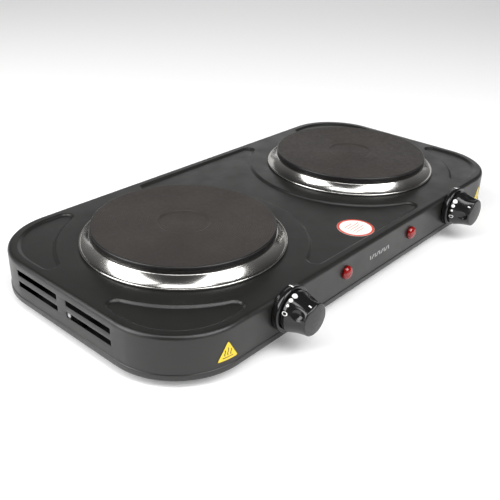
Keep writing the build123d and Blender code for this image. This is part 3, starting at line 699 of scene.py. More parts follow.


# %% [markdown]
# ## The turned face of a plate
#
# A plate's top is faced on a lathe, which leaves fine rings about two millimetres apart and a
# shallow dish in the middle. That is a rule in the radius, so the face is a grid that a
# tree rolls up: one side of the grid becomes the angle, the other the radius, and the
# height comes from the radius. The rim and the hidden body below are a plain spin, finished near black
# as painted shade.

# %%
plate_low, plate_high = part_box("right_hotplate")
plate_radius = (plate_high.x - plate_low.x) / 2
plate_edge = 1.2 * MM
dish_radius = 21 * MM
dish_depth = 0.8 * MM
rim_under = plate_high.z - 6 * MM
body_radius = plate_radius - 5.5 * MM
PLATE_AROUND = 180
GROOVES = 40
ROWS_PER_GROOVE = 4


def plate_face_tree():
    """A tree that rolls a grid into a grooved disc with a dish in its middle."""
    tree = new_tree("turned_plate_face", {
        "Radius": 0.0763,
        "Height": 0.058,
        "Centre X": 0.0,
        "Centre Y": 0.0,
        "Groove Pitch": 0.0019,
        "Groove Depth": 0.0004,
        "Dish Radius": dish_radius,
        "Dish Depth": dish_depth,
        "Steps Around": 180,
        "Rows": 161,
        "Material": cast_iron,
    })
    around = maths(tree, "ADD", tree_input(tree, "Steps Around"), 1)
    grid = grow_node(tree, "GeometryNodeMeshGrid", Size_X=1.0, Size_Y=1.0,
                     Vertices_X=around, Vertices_Y=tree_input(tree, "Rows"))
    place = grow_node(tree, "GeometryNodeInputPosition")
    parts = grow_node(tree, "ShaderNodeSeparateXYZ", Vector=place.outputs[0])
    angle = maths(tree, "MULTIPLY", maths(tree, "ADD", parts.outputs["X"], 0.5), TURN)
    share = maths(tree, "ADD", parts.outputs["Y"], 0.5)
    radius = maths(tree, "MULTIPLY", share, tree_input(tree, "Radius"))
    step = maths(tree, "DIVIDE", radius, tree_input(tree, "Groove Pitch"))
    wave = maths(tree, "PINGPONG", step, 0.5)
    groove = maths(tree, "MULTIPLY", wave, tree_input(tree, "Groove Depth"))
    slope = maths(tree, "SUBTRACT", radius, tree_input(tree, "Dish Radius"))
    out = maths(tree, "MULTIPLY", slope, 900)
    out.node.use_clamp = True
    dish = maths(tree, "MULTIPLY", maths(tree, "SUBTRACT", 1.0, out), tree_input(tree, "Dish Depth"))
    drop = maths(tree, "ADD", groove, dish)
    height = maths(tree, "SUBTRACT", tree_input(tree, "Height"), drop)
    x = maths(tree, "MULTIPLY", radius, maths(tree, "COSINE", angle))
    y = maths(tree, "MULTIPLY", radius, maths(tree, "SINE", angle))
    x = maths(tree, "ADD", x, tree_input(tree, "Centre X"))
    y = maths(tree, "ADD", y, tree_input(tree, "Centre Y"))
    rolled = grow_node(tree, "ShaderNodeCombineXYZ", X=x, Y=y, Z=height)
    moved = grow_node(tree, "GeometryNodeSetPosition", Geometry=grid.outputs["Mesh"],
                      Position=rolled.outputs[0])
    closed = grow_node(tree, "GeometryNodeMergeByDistance", Geometry=moved.outputs[0], Distance=1e-6)
    end_tree(tree, closed.outputs[0], tree_input(tree, "Material"))
    return tree


def merged(name, pieces, materials):
    """Join mesh objects, one finish each, merge what meets and point the faces outwards."""
    bm = bmesh.new()
    for index, piece in enumerate(pieces):
        piece.data.polygons.foreach_set("material_index", [index] * len(piece.data.polygons))
        bm.from_mesh(piece.data)
    bmesh.ops.remove_doubles(bm, verts=bm.verts, dist=2e-6)
    bmesh.ops.recalc_face_normals(bm, faces=bm.faces)
    mesh = bpy.data.meshes.new(name)
    bm.to_mesh(mesh)
    bm.free()
    for material in materials:
        mesh.materials.append(material)
    for piece in pieces:
        bpy.data.objects.remove(piece)
    joined = bpy.data.objects.new(name, mesh)
    bpy.context.scene.collection.objects.link(joined)
    mesh.polygons.foreach_set("use_smooth", [True] * len(mesh.polygons))
    return joined


face_tree = plate_face_tree()
for side, sign in (("left", -1), ("right", 1)):
    face_radius = plate_radius - plate_edge
    face = grown(f"{side}_plate_face", face_tree, {
        "Radius": face_radius,
        "Height": plate_high.z,
        "Centre X": sign * plate_x,
        "Centre Y": centre_y,
        "Groove Pitch": face_radius / GROOVES,
        "Steps Around": PLATE_AROUND,
        "Rows": GROOVES * ROWS_PER_GROOVE + 1,
    })
    outline = [(face_radius, plate_high.z)]
    for i in range(1, 7):
        a = math.pi / 2 * i / 6
        outline.append((face_radius + plate_edge * math.sin(a),
                        plate_high.z - plate_edge * (1 - math.cos(a))))
    outline += [
        (plate_radius, rim_under + 0.3 * MM),
        (plate_radius - 0.3 * MM, rim_under),
        (body_radius, rim_under),
        (body_radius, plate_low.z),
        (0.03, plate_low.z),
        (0.0, plate_low.z),
    ]
    points, faces = spun(outline, PLATE_AROUND)
    points = [(x + sign * plate_x, y + centre_y, z) for x, y, z in points]
    # The rim's side takes the near-black finish, painted shade for the shadow under the plate's edge.
    rim = new_piece(f"{side}_plate_rim", points, faces, plate_side_painted_shade)
    plate = merged(f"{side}_turned_plate", [face, rim], [cast_iron, plate_side_painted_shade])
    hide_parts(f"{side}_hotplate")
    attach(plate, "housing")
    print(side, "plate faces", len(plate.data.polygons))

# %% [markdown]
# ## The trim rings
#
# A trim ring is spun from polished stainless: a small rolled lip on the deck, a hollow curve
# that sweeps up to the plate, and a shelf that the plate's rim sits on. The highlights run
# round it, so it is spun with many steps and its outline is smooth.

# %%
ring_inner = plate_radius + 0.6 * MM
ring_lip = 1.1 * MM
ring_sheet = 0.7 * MM
ring_pull_out = 0.38
ring_pull_up = 0.32
ring_shelf = 5 * MM
WALL_STEPS = 24
RING_AROUND = 224


def ring_section():
    """(radius, height) all the way round the section of a trim ring."""
    lip_radius = ring_outer - ring_lip
    low = deck_top + ring_lip
    run = lip_radius - ring_inner
    rise = rim_under - low
    start = Vector((ring_inner, rim_under))
    pull = Vector((ring_inner + ring_pull_out * run, low + ring_pull_up * rise))
    end = Vector((lip_radius, low))
    outer = []
    under = []
    for i in range(WALL_STEPS + 1):
        t = i / WALL_STEPS
        spot = start * (1 - t) ** 2 + pull * 2 * t * (1 - t) + end * t * t
        along = (pull - start) * (1 - t) + (end - pull) * t
        across = Vector((along.y, -along.x)).normalized()
        if spot.x < lip_radius - 0.9 * ring_lip:
            outer.append((spot.x, spot.y))
            under.append((spot.x + ring_sheet * across.x, spot.y + ring_sheet * across.y))
    shelf_under = rim_under - ring_sheet
    under = [p for p in under if p[1] < shelf_under - 0.3 * ring_sheet]
    bead = bend_points((lip_radius, low), ring_lip, 150, -140, 20)
    shelf_end = ring_inner - ring_shelf
    corner = [(ring_inner - ring_sheet, shelf_under)]
    shelf = [(shelf_end, shelf_under), (shelf_end, rim_under)]
    return outer + bead + under[::-1] + corner + shelf


for side, sign in (("left", -1), ("right", 1)):
    points, faces = spun(ring_section(), RING_AROUND, closed=True)
    points = [(x + sign * plate_x, y + centre_y, z) for x, y, z in points]
    trim = new_piece(f"{side}_spun_ring", points, faces, polished_steel)
    tidy_mesh(trim)
    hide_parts(f"{side}_trim_ring")
    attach(trim, "housing")
print("trim ring section has", len(ring_section()), "points")

# %% [markdown]
# ## Turned parts on the front wall
#
# Bezels, knobs and lamp lenses stand out from the front wall. One helper spins an outline of
# (radius, distance ahead of the wall) about an axis that points forwards, and another
# gives the point at an angle, counted from the right hand side and over the top as seen
# from in front.

# %%
wall_y = centre_y - half_width
bezel_low, bezel_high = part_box("right_knob_bezel")
knob_x = (bezel_low.x + bezel_high.x) / 2
knob_z = (bezel_low.z + bezel_high.z) / 2
bezel_radius = (bezel_high.x - bezel_low.x) / 2
bezel_length = 6 * MM
bezel_bore = 9 * MM
bezel_hollow = 16.5 * MM
bezel_hollow_depth = 2.5 * MM


def front_point(x, z, angle, radius, ahead):
    """A point at an angle round an axis that stands out from the front wall."""
    return (x + radius * math.cos(angle), wall_y - ahead, z + radius * math.sin(angle))


def front_spin(name, section, x, z, material, around=96, closed=False):
    """A turned piece on the front wall."""
    points = []
    for r, ahead in section:
        for k in range(around):
            points.append(front_point(x, z, TURN * k / around, r, ahead))
    faces = spun(section, around, closed)[1]
    piece = new_piece(name, points, faces, material)
    return tidy_mesh(piece)


def bezel_section():
    """Round collar with a soft front edge, hollow at the back."""
    soft = 1.3 * MM
    edge = bend_points((bezel_radius - soft, bezel_length - soft), soft, 90, 0, 8)
    return (
        [(bezel_bore, bezel_hollow_depth), (bezel_bore, bezel_length), (14 * MM, bezel_length)]
        + edge
        + [(bezel_radius, 0.0), (bezel_hollow, 0.0), (bezel_hollow, bezel_hollow_depth)]
    )


def wall_tick(name, x, half_angle, back, front, lift):
    """A painted line along the top of a bezel."""
    points = []
    for ahead in (back, front):
        for k in range(7):
            a = math.pi / 2 + half_angle * (k / 3 - 1)
            points.append(front_point(x, knob_z, a, bezel_radius + lift, ahead))
    faces = [(k, k + 1, k + 8, k + 7) for k in range(6)]
    tick = new_piece(name, points, faces, white_ink)
    thick = tick.modifiers.new("film", "SOLIDIFY")
    thick.thickness = lift
    thick.offset = 0
    return tick


for side, sign in (("left", -1), ("right", 1)):
    collar = front_spin(f"{side}_bezel_ring", bezel_section(), sign * knob_x, knob_z,
                        gloss_black, closed=True)
    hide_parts(f"{side}_knob_bezel")
    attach(collar, "housing")
    tick = wall_tick(f"{side}_bezel_tick", sign * knob_x, 0.035, 0.6 * MM, 4.6 * MM, 0.03 * MM)
    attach(tick, "housing")
print("bezels", round(bezel_radius, 4), "at", round(knob_x, 4), round(knob_z, 4))

# %% [markdown]
# ## The knobs
#
# A knob is a short taper with a skirt. One side is cut flat for the pointer mark, and beside
# the flat are two hollows for the finger and thumb. All of that is a rule for the radius at
# each angle and each distance from the wall, so the side is a net of points on that rule.
# The end is slightly domed and a little matte, and the back is hollow round a boss.

# %%
knob_back = bezel_length + 1 * MM
skirt_front = knob_back + 3 * MM
knob_front = knob_back + 19 * MM
skirt_radius = 16.5 * MM
face_radius = 13 * MM
knob_dome = 1.4 * MM
KNOB_AROUND = 160
KNOB_ROWS = 44
END_ROWS = 12
mark_angle = {"left": 106, "right": 138}
flat_reach = 15.9
flat_taper = 4.3
flat_half_angle = 75
hollow_angle = 46
hollow_half_angle = 17
hollow_ahead = 19.5 * MM
hollow_half_length = 5.4 * MM
hollow_depth = 1.9 * MM
knob_soft = 0.8 * MM


def soft_less(a, b, blend):
    """The smaller of two values, with the crossing rounded."""
    h = max(blend - abs(a - b), 0) / blend
    return min(a, b) - h * h * blend / 4


def knob_radius(angle, ahead, mark):
    """Radius of a knob's side; the angle of its pointer flat is mark, in degrees."""
    share = max(0.0, (ahead - skirt_front) / (knob_front - skirt_front))
    body = skirt_radius - (skirt_radius - face_radius) * share ** 0.9
    body -= 0.5 * MM * math.sin(math.pi * min(share, 1))
    turn = (math.degrees(angle) - mark + 180) % 360 - 180
    if abs(turn) < flat_half_angle and ahead > skirt_front:
        flat = (flat_reach - flat_taper * share) * MM / math.cos(math.radians(turn))
        body = soft_less(body, flat, 0.7 * MM)
    for place in (-hollow_angle, hollow_angle):
        across = (turn - place) / hollow_half_angle
        along = (ahead - hollow_ahead) / hollow_half_length
        inside = 1 - across * across - along * along
        if inside > 0:
            body -= hollow_depth * inside ** 0.8
    return body


def knob_rows():
    """Rows of (radius or None for the ruled side, distance ahead) from the boss to the face."""
    rows = [(3.06, 18.3), (3.06, 7.5), (5.2, 7.5), (5.2, 16), (8.2, 16), (8.2, 8.2)]
    rows += [(14.7, 8.2), (14.7, 7.0), (16.2, 7.0)]
    rows = [(r * MM, ahead * MM) for r, ahead in rows]
    rows.append((None, knob_back + 0.3 * MM))
    first = knob_back + 0.8 * MM
    run = knob_front - knob_back - 1.6 * MM
    rows += [(None, first + run * i / KNOB_ROWS) for i in range(KNOB_ROWS + 1)]
    return rows


def knob_mesh(name, x, mark):
    """The whole knob as one closed mesh."""
    rings = []
    for radius, ahead in knob_rows():
        ring = []
        for k in range(KNOB_AROUND):
            a = TURN * k / KNOB_AROUND
            r = radius if radius is not None else knob_radius(a, ahead, mark)
            ring.append(front_point(x, knob_z, a, r, ahead))
        rings.append(ring)
    soft = knob_soft
    for i in range(1, 5):
        turn = math.pi / 2 * i / 5
        ring = []
        for k in range(KNOB_AROUND):
            a = TURN * k / KNOB_AROUND
            r = knob_radius(a, knob_front - soft, mark) - soft * (1 - math.cos(turn))
            ring.append(front_point(x, knob_z, a, r, knob_front - soft + soft * math.sin(turn)))
        rings.append(ring)
    for i in range(END_ROWS):
        share = 1 - i / END_ROWS
        ring = []
        for k in range(KNOB_AROUND):
            a = TURN * k / KNOB_AROUND
            edge = knob_radius(a, knob_front - soft, mark) - soft
            rise = knob_dome * (1 - (share * edge / face_radius) ** 2)
            ring.append(front_point(x, knob_z, a, edge * share, knob_front + rise))
        rings.append(ring)
    points = [p for ring in rings for p in ring]
    faces = []
    for i in range(len(rings) - 1):
        for k in range(KNOB_AROUND):
            n = (k + 1) % KNOB_AROUND
            a, b = i * KNOB_AROUND, (i + 1) * KNOB_AROUND
            faces.append((a + k, b + k, b + n, a + n))
    top = len(points)
    points.append(front_point(x, knob_z, 0, 0, knob_front + knob_dome))
    points.append(front_point(x, knob_z, 0, 0, 18.3 * MM))
    last = (len(rings) - 1) * KNOB_AROUND
    for k in range(KNOB_AROUND):
        n = (k + 1) % KNOB_AROUND
        faces.append((last + k, top, last + n))
        faces.append((n, top + 1, k))
    side_faces = (len(knob_rows()) + 4) * KNOB_AROUND
    end_faces = (END_ROWS - 1) * KNOB_AROUND
    knob = new_piece(name, points, faces, gloss_black)
    knob.data.materials.append(satin_black)
    for i, polygon in enumerate(knob.data.polygons):
        if side_faces <= i < side_faces + end_faces or i >= len(faces) - 2 * KNOB_AROUND:
            polygon.material_index = 1
    return tidy_mesh(knob, 1e-7)


for side, sign in (("left", -1), ("right", 1)):
    knob = knob_mesh(f"{side}_moulded_knob", sign * knob_x, mark_angle[side])
    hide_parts(f"{side}_knob")
    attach(knob, f"{side}_control")
    print(side, "knob faces", len(knob.data.polygons))

# %% [markdown]
# ## The scale on a knob
#
# Three dots that grow towards the hottest setting, and a nought for off, are printed on the
# skirt, with a short pointer mark at the end of the flat. Each print is a thin film that
# follows the knob's own rule for the radius, so it sits on the surface wherever it is put.

# %%
FILM = 0.03 * MM


def on_knob(x, mark, angle, along, ahead):
    """A point on the film: at an angle in degrees, moved sideways by a length."""
    a = math.radians(angle) + along / skirt_radius
    return front_point(x, knob_z, a, knob_radius(a, ahead, mark) + FILM, ahead)


def film_disc(centre, radius, steps=28, rings=4, stretch=1.0, inner=0.0):
    """Flat (u, v) points and faces of a disc, an oval or a ring."""
    points, faces = [], []
    for i in range(rings + 1):
        r = inner + (radius - inner) * i / rings
        for k in range(steps):
            a = TURN * k / steps
            points.append((centre[0] + r * math.cos(a), centre[1] + stretch * r * math.sin(a)))
    for i in range(rings):
        for k in range(steps):
            n = (k + 1) % steps
            faces.append((i * steps + k, (i + 1) * steps + k, (i + 1) * steps + n, i * steps + n))
    return points, faces


def film_bar(start, end, width, rows=10, cols=3, sway=0.0):
    """Flat (u, v) points and faces of a bar, which can sway from side to side."""
    points, faces = [], []
    run = (end[0] - start[0], end[1] - start[1])
    size = math.hypot(*run)
    side = (-run[1] / size, run[0] / size)
    for i in range(rows + 1):
        t = i / rows
        shift = sway * math.sin(TURN * t)
        for j in range(cols + 1):
            w = width * (j / cols - 0.5) + shift
            points.append((start[0] + run[0] * t + side[0] * w, start[1] + run[1] * t + side[1] * w))
    for i in range(rows):
        for j in range(cols):
            a = i * (cols + 1) + j
            faces.append((a, a + 1, a + cols + 2, a + cols + 1))
    return points, faces


def film_piece(name, parts, place, material, body, thickness=FILM):
    """One film piece from flat parts; place maps (u, v) to a point on the surface."""
    points, faces = [], []
    for part_points, part_faces in parts:
        base = len(points)
        points += [place(u, v) for u, v in part_points]
        faces += [tuple(base + i for i in face) for face in part_faces]
    film = new_piece(name, points, faces, material)
    tidy_mesh(film, 1e-7)
    thick = film.modifiers.new("film", "SOLIDIFY")
    thick.thickness = thickness
    thick.offset = 0
    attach(film, body)
    return film


for side, sign in (("left", -1), ("right", 1)):
    x, mark = sign * knob_x, mark_angle[side]
    row = 9.6 * MM
    parts = []
    for turn, radius in ((0, 2.15), (17, 1.65), (33, 1.15)):
        parts.append(film_disc((skirt_radius * math.radians(turn), row), radius * MM))
    nought = skirt_radius * math.radians(55)
    parts.append(film_disc((nought, row), 1.7 * MM, rings=2, stretch=1.35, inner=1.1 * MM))
    parts.append(film_bar((0, 21.9 * MM), (0, 24.3 * MM), 1.5 * MM, rows=8))
    film_piece(
        f"{side}_knob_scale", parts,
        lambda u, v, x=x, mark=mark: on_knob(x, mark, mark, u, v),
        white_ink, f"{side}_control",
    )
print("knob scales printed")

# %% [markdown]
# ## The lamp lenses
#
# Each lens is a domed red cap on a stem that goes through the wall. Its edge is a short
# straight rim, and the dome is a little flatter than half a ball.

# %%
lamp_low, lamp_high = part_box("right_lamp_lens")
lamp_x = (lamp_low.x + lamp_high.x) / 2
lamp_z = (lamp_low.z + lamp_high.z) / 2
lamp_radius = (lamp_high.x - lamp_low.x) / 2
lamp_collar = 1 * MM
stem_radius = 4.8 * MM
stem_length = 12 * MM


def lens_section():
    """(radius, distance ahead) from the hollow round the dome to the end of the stem."""
    dome = []
    for i in range(15):
        a = math.pi / 2 * i / 14
        dome.append((lamp_radius * math.sin(a), lamp_collar + 3.6 * MM * math.cos(a)))
    hollow = [(3.0 * MM, -stem_length), (3.0 * MM, 0.4 * MM)]
    hollow += [(2.4 * MM, lamp_collar), (0.0, lamp_collar)]
    return dome + [(lamp_radius, 0.0), (stem_radius, 0.0), (stem_radius, -stem_length)] + hollow


for side, sign in (("left", -1), ("right", 1)):
    lens = front_spin(f"{side}_lens_cap", lens_section(), sign * lamp_x, lamp_z, red_lens, 64)
    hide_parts(f"{side}_lamp_lens")
    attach(lens, "housing")
print("lamp lenses", round(lamp_radius, 4), "at", round(lamp_x, 4), round(lamp_z, 4))

# %% [markdown]
# ## The corner stickers
#
# A yellow three-sided sticker goes round each front corner. It is a film on the corner's
# cylinder: a flat position on the sticker becomes an angle and a height. The print on it is
# a plain pattern of bars, raised by the thickness of the ink.

# %%
label_film = 0.15 * MM
sticker_side = 20 * MM
sticker_foot = skirt_bottom + 8.5 * MM


def on_corner(sign, u, v, lift):
    """A point on a front corner: u sideways from the sticker's middle, v above its foot."""
    middle_x = sign * (half_length - corner_radius)
    middle_y = centre_y - (half_width - corner_radius)
    a = math.radians(270 + 9 * sign) + u / corner_radius
    reach = corner_radius + lift
    return (middle_x + reach * math.cos(a), middle_y + reach * math.sin(a), sticker_foot + v)


def film_triangle(side_length, inset=0.0, steps=16, roundness=0.9 * MM):
    """Flat (u, v) points and faces of an upright triangle with slightly round corners."""
    height = side_length * math.sqrt(3) / 2
    middle = (0.0, height / 3)
    far = 2 * height / 3 - 2 * inset
    points, faces = [middle], []
    edge = []
    for corner in range(3):
        a = math.radians(90 + 120 * corner)
        tip = (middle[0] + far * math.cos(a), middle[1] + far * math.sin(a))
        pull = (tip[0] - 2 * roundness * math.cos(a), tip[1] - 2 * roundness * math.sin(a))
        start = math.degrees(a) - 60
        edge += bend_points(pull, roundness, start, start + 120, 6)
        after = math.radians(90 + 120 * (corner + 1))
        goal = (middle[0] + far * math.cos(after), middle[1] + far * math.sin(after))
        for i in range(1, steps):
            t = i / steps
            if 0.1 < t < 0.9:
                edge.append((tip[0] + (goal[0] - tip[0]) * t, tip[1] + (goal[1] - tip[1]) * t))
    rings = 8
    count = len(edge)
    for i in range(1, rings + 1):
        t = i / rings
        points += [(middle[0] + (x - middle[0]) * t, middle[1] + (y - middle[1]) * t) for x, y in edge]
    for k in range(count):
        faces.append((0, 1 + k, 1 + (k + 1) % count))
        for i in range(rings - 1):
            a, b = 1 + i * count, 1 + (i + 1) * count
            n = (k + 1) % count
            faces.append((a + k, b + k, b + n, a + n))
    return points, faces


for side, sign in (("left", -1), ("right", 1)):
    sticker = film_piece(
        f"{side}_corner_sticker", [film_triangle(sticker_side)],
        lambda u, v, s=sign: on_corner(s, u, v, 0.7 * label_film),
        dark_ink, "housing", label_film,
    )
    film_piece(
        f"{side}_corner_sticker_field", [film_triangle(sticker_side, 0.55 * MM)],
        lambda u, v, s=sign: on_corner(s, u, v, 1.25 * label_film),
        yellow_film, "housing",
    )
    bars = [film_bar((u, 4.3 * MM), (u, high), 0.75 * MM, sway=0.35 * MM)
            for u, high in ((-2.6 * MM, 9.2 * MM), (0.0, 10.8 * MM), (2.6 * MM, 9.2 * MM))]
    bars.append(film_bar((-4.6 * MM, 2.9 * MM), (4.6 * MM, 2.9 * MM), 0.6 * MM))
    film_piece(
        f"{side}_corner_sticker_print", bars,
        lambda u, v, s=sign: on_corner(s, u, v, 1.5 * label_film),
        dark_ink, "housing",
    )
    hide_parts(f"{side}_corner_label")
print("corner stickers", round(sticker_side, 4))

# %% [markdown]
# ## The round sticker and the mark on the front
#
# The round sticker lies on the floor of the middle zone: a white disc with a red rim and a
# faint pattern of lines. The small light mark in the middle of the front wall is a plain
# row of slanted strokes.

# %%
disc_low, disc_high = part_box("deck_label")
disc_x = (disc_low.x + disc_high.x) / 2
disc_y = (disc_low.y + disc_high.y) / 2
disc_radius = (disc_high.x - disc_low.x) / 2


def on_zone_floor(u, v, lift):
    """A point on the round sticker, above the floor of the middle zone."""
    return (disc_x + u, disc_y + v, disc_low.z + lift)


def on_front(u, v, lift):
    """A point on the front wall, from the middle of the mark."""
    return (u, wall_y - lift, skirt_bottom + 20 * MM + v)


sticker = film_piece(
    "round_sticker", [film_disc((0, 0), disc_radius, 96, 6)],
    lambda u, v: on_zone_floor(u, v, 0.7 * label_film),
    white_film, "housing", label_film,
)
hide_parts("deck_label")
film_piece(
    "round_sticker_rim",
    [film_disc((0, 0), disc_radius - 0.1 * MM, 96, 2, inner=disc_radius - 2.2 * MM)],
    lambda u, v: on_zone_floor(u, v, 1.3 * label_film), red_ink, "housing",
)
strokes = []
for i, (length, shift) in enumerate(((13, -1.5), (17, 0.5), (15, -0.5), (18, 1), (12, -2))):
    v = (i - 2) * 3.1 * MM
    start = ((shift - length / 2) * MM, v)
    end = ((shift + length / 2) * MM, v + 1.2 * MM)
    strokes.append(film_bar(start, end, 0.8 * MM, 24, 1, sway=0.25 * MM))
film_piece(
    "round_sticker_print", strokes,
    lambda u, v: on_zone_floor(u, v, 1.3 * label_film), faint_red_ink, "housing",
)
strokes = []
for i in range(9):
    u = (i - 4) * 3.6 * MM
    lean = (1.3 if i % 2 else -0.3) * MM
    strokes.append(film_bar((u - lean, -2.0 * MM), (u + lean, 2.0 * MM), 1.0 * MM))
mark = film_piece(
    "front_mark", strokes, lambda u, v: on_front(u, v, 0.02 * MM),
    grey_ink, "housing",
)
print("round sticker", round(disc_radius, 4), "at", round(disc_x, 4), round(disc_y, 4))

# %% [markdown]
# ## Screws under the base
#
# Six screws hold the base and four hold the feet, all with the same bevelled, slotted head.
# One tree builds the screw, with the head downwards and the slot cut out of it, and puts
# a copy at every point of the mesh it is given. Each is turned by its own random amount,
# as driven screws are.

# %%
HEAD_RADIUS = 2.8 * MM
HEAD_HEIGHT = 1.8 * MM


def screw_tree():
    """A tree that stands a slotted screw, point up, on each point of its mesh."""
    tree = new_tree("slotted_screw", {
        "Head Radius": HEAD_RADIUS,
        "Head Height": HEAD_HEIGHT,
        "Head Bevel": 0.8 * MM,
        "Shank Radius": 1.5 * MM,
        "Shank Length": 5 * MM,
        "Slot Width": 0.8 * MM,
        "Slot Depth": 0.6 * MM,
        "Seed": 7,
        "Material": plain_steel,
    })
    head_radius = tree_input(tree, "Head Radius")
    bevel = tree_input(tree, "Head Bevel")
    length = tree_input(tree, "Shank Length")
    tip_radius = maths(tree, "SUBTRACT", head_radius, bevel)
    dome = grow_node(tree, "GeometryNodeMeshCone", Vertices=32, Side_Segments=1,
                     Radius_Top=head_radius, Radius_Bottom=tip_radius, Depth=bevel)
    band_height = maths(tree, "SUBTRACT", tree_input(tree, "Head Height"), bevel)
    band = grow_node(tree, "GeometryNodeMeshCylinder", Vertices=32, Radius=head_radius,
                     Depth=band_height)
    half_band = maths(tree, "MULTIPLY_ADD", band_height, 0.5, bevel)
    band_up = grow_node(tree, "GeometryNodeTransform", Geometry=band.outputs["Mesh"],
                        Translation=grow_node(tree, "ShaderNodeCombineXYZ", Z=half_band).outputs[0])
    shank = grow_node(tree, "GeometryNodeMeshCylinder", Vertices=24,
                      Radius=tree_input(tree, "Shank Radius"), Depth=length)
    half_shank = maths(tree, "MULTIPLY_ADD", length, 0.5, tree_input(tree, "Head Height"))
    shank_up = grow_node(tree, "GeometryNodeTransform", Geometry=shank.outputs["Mesh"],
                         Translation=grow_node(tree, "ShaderNodeCombineXYZ", Z=half_shank).outputs[0])
    whole = grow_node(tree, "GeometryNodeMeshBoolean")
    whole.operation = "UNION"
    for part in (dome.outputs["Mesh"], band_up.outputs[0], shank_up.outputs[0]):
        tree.links.new(part, whole.inputs["Mesh 2"])
    across = maths(tree, "MULTIPLY", head_radius, 3.0)
    deep = maths(tree, "MULTIPLY", tree_input(tree, "Slot Depth"), 2.0)
    slot_size = grow_node(tree, "ShaderNodeCombineXYZ", X=tree_input(tree, "Slot Width"),
                          Y=across, Z=deep)
    slot = grow_node(tree, "GeometryNodeMeshCube", Size=slot_size.outputs[0])
    cut = grow_node(tree, "GeometryNodeMeshBoolean", Mesh_1=whole.outputs["Mesh"])
    cut.operation = "DIFFERENCE"
    tree.links.new(slot.outputs["Mesh"], cut.inputs["Mesh 2"])
    spin = grow_node(tree, "FunctionNodeRandomValue", Seed=tree_input(tree, "Seed"))
    spin.data_type = "FLOAT"
    turn = maths(tree, "MULTIPLY", spin.outputs[1], TURN)
    heading = grow_node(tree, "ShaderNodeCombineXYZ", Z=turn)
    stood = grow_node(tree, "GeometryNodeInstanceOnPoints",
                      Points=tree.nodes["Group Input"].outputs["Geometry"],
                      Instance=cut.outputs["Mesh"], Rotation=heading.outputs[0])
    end_tree(tree, stood.outputs["Instances"], tree_input(tree, "Material"))
    return tree


def screw_points(name, places, height):
    """A mesh of loose points, one for each screw."""
    mesh = bpy.data.meshes.new(name)
    mesh.from_pydata([(x, y, height) for x, y in places], [], [])
    return mesh


screws = screw_tree()
base_low, base_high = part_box("base_screws")
tab_x = 85 * MM
tab_y = base_high.y - centre_y - HEAD_RADIUS
end_x = base_high.x - HEAD_RADIUS
around_base = [(-end_x, centre_y), (end_x, centre_y)]
around_base += [(x, centre_y + y) for x in (-tab_x, tab_x) for y in (-tab_y, tab_y)]
foot_low, foot_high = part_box("foot_screws")
foot_x = foot_high.x - HEAD_RADIUS
foot_y = foot_high.y - centre_y - HEAD_RADIUS
feet = [(x, centre_y + y) for x in (-foot_x, foot_x) for y in (-foot_y, foot_y)]
for name, places, low, high in (
    ("base_screws", around_base, base_low, base_high),
    ("foot_screws", feet, foot_low, foot_high),
):
    points = screw_points(f"{name}_places", places, low.z)
    driven = grown(f"{name}_driven", screws, {"Shank Length": high.z - low.z - HEAD_HEIGHT}, points)
    tidy_mesh(driven)
    driven.data.polygons.foreach_set("use_smooth", [False] * len(driven.data.polygons))
    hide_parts(name)
    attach(driven, "housing")
    print(name, len(places), "screws,", len(driven.data.polygons), "faces")

# %% [markdown]
# ## Floor, light and camera
#
# The floor is one large pale sheet. Two big soft boxes stand to the left and in front, with
# a dark gap between them that the bright trim rings show. A small one hangs overhead, and a
# wide low one behind lights the deck. The world fades from grey at the horizon to dark
# above. The camera looks down from the front left corner with a longish lens.

# %%
floor_finish = finish("pale_floor", (0.85, 0.85, 0.85), roughness=0.7)
floor_shader = floor_finish.node_tree.nodes["Principled BSDF"]
floor_shader.inputs["Emission Color"].default_value = (1, 1, 1, 1)
floor_shader.inputs["Emission Strength"].default_value = 0.18
reach = 4.0
corners = [(-reach, -reach, 0), (reach, -reach, 0), (reach, reach, 0), (-reach, reach, 0)]
floor = new_piece("floor", corners, [(0, 1, 2, 3)], floor_finish)


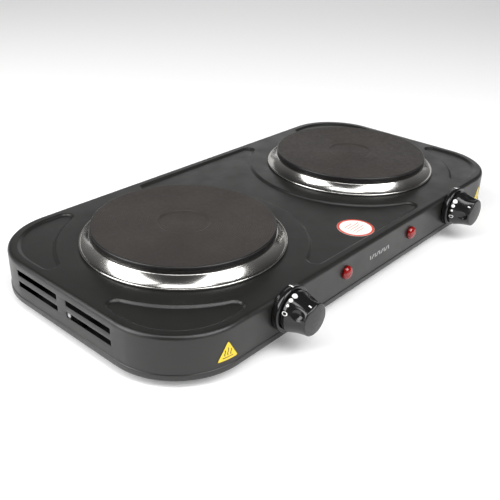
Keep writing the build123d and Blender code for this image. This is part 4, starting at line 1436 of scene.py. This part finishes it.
def soft_box(name, towards, height, distance, size, power):
    """A rectangular area light: azimuth and height in degrees as seen from the middle."""
    a, e = math.radians(towards), math.radians(height)
    away = Vector((math.sin(a) * math.cos(e), -math.cos(a) * math.cos(e), math.sin(e)))
    lamp = bpy.data.lights.new(name, "AREA")
    lamp.shape = "RECTANGLE"
    lamp.size, lamp.size_y = size
    lamp.energy = power
    holder = bpy.data.objects.new(name, lamp)
    holder.location = away * distance
    holder.rotation_euler = away.to_track_quat("Z", "Y").to_euler()
    bpy.context.scene.collection.objects.link(holder)


soft_box("left_box", -115, 36, 1.7, (1.05, 1.5), 29)
soft_box("front_box", 2, 46, 1.7, (1.15, 1.1), 25)
soft_box("top_box", -49, 73, 1.8, (1.0, 0.5), 9)
soft_box("back_box", 131, 17, 2.2, (2.4, 0.8), 4.5)

world = bpy.data.worlds.new("studio")
world.use_nodes = True
sky = world.node_tree
where = sky.nodes.new("ShaderNodeTexCoord")
split = sky.nodes.new("ShaderNodeSeparateXYZ")
fade = sky.nodes.new("ShaderNodeValToRGB")
fade.color_ramp.elements.new(0.3)
for stop, (place, level) in zip(fade.color_ramp.elements, ((0.0, 0.3), (0.3, 0.16), (0.62, 0.05))):
    stop.position = place
    stop.color = (level, level, level, 1)
sky.links.new(where.outputs["Generated"], split.inputs[0])
sky.links.new(split.outputs["Z"], fade.inputs["Fac"])
sky.links.new(fade.outputs["Color"], sky.nodes["Background"].inputs["Color"])
sky.nodes["Background"].inputs["Strength"].default_value = 1.0
bpy.context.scene.world = world
bpy.context.scene.view_settings.view_transform = "Standard"

LOOKED_AT = Vector((0.0383, 0.0741, -0.0554))
CAMERA_DISTANCE = 0.7766
azimuth = math.radians(-49.14)
elevation = math.radians(28.44)
roll = math.radians(1.88)
back = Vector((
    math.sin(azimuth) * math.cos(elevation),
    -math.cos(azimuth) * math.cos(elevation),
    math.sin(elevation),
))
across = Vector((0, 0, 1)).cross(back).normalized()
upward = back.cross(across)
side_axis = across * math.cos(roll) + upward * math.sin(roll)
up_axis = upward * math.cos(roll) - across * math.sin(roll)
lens = bpy.data.cameras.new("camera")
lens.sensor_width = 36
lens.lens = 50.22
camera = bpy.data.objects.new("camera", lens)
turned_axes = Matrix((side_axis, up_axis, back)).transposed().to_4x4()
camera.matrix_world = Matrix.Translation(LOOKED_AT + back * CAMERA_DISTANCE) @ turned_axes
bpy.context.scene.collection.objects.link(camera)
bpy.context.scene.camera = camera
print("camera at", [round(v, 3) for v in camera.location])
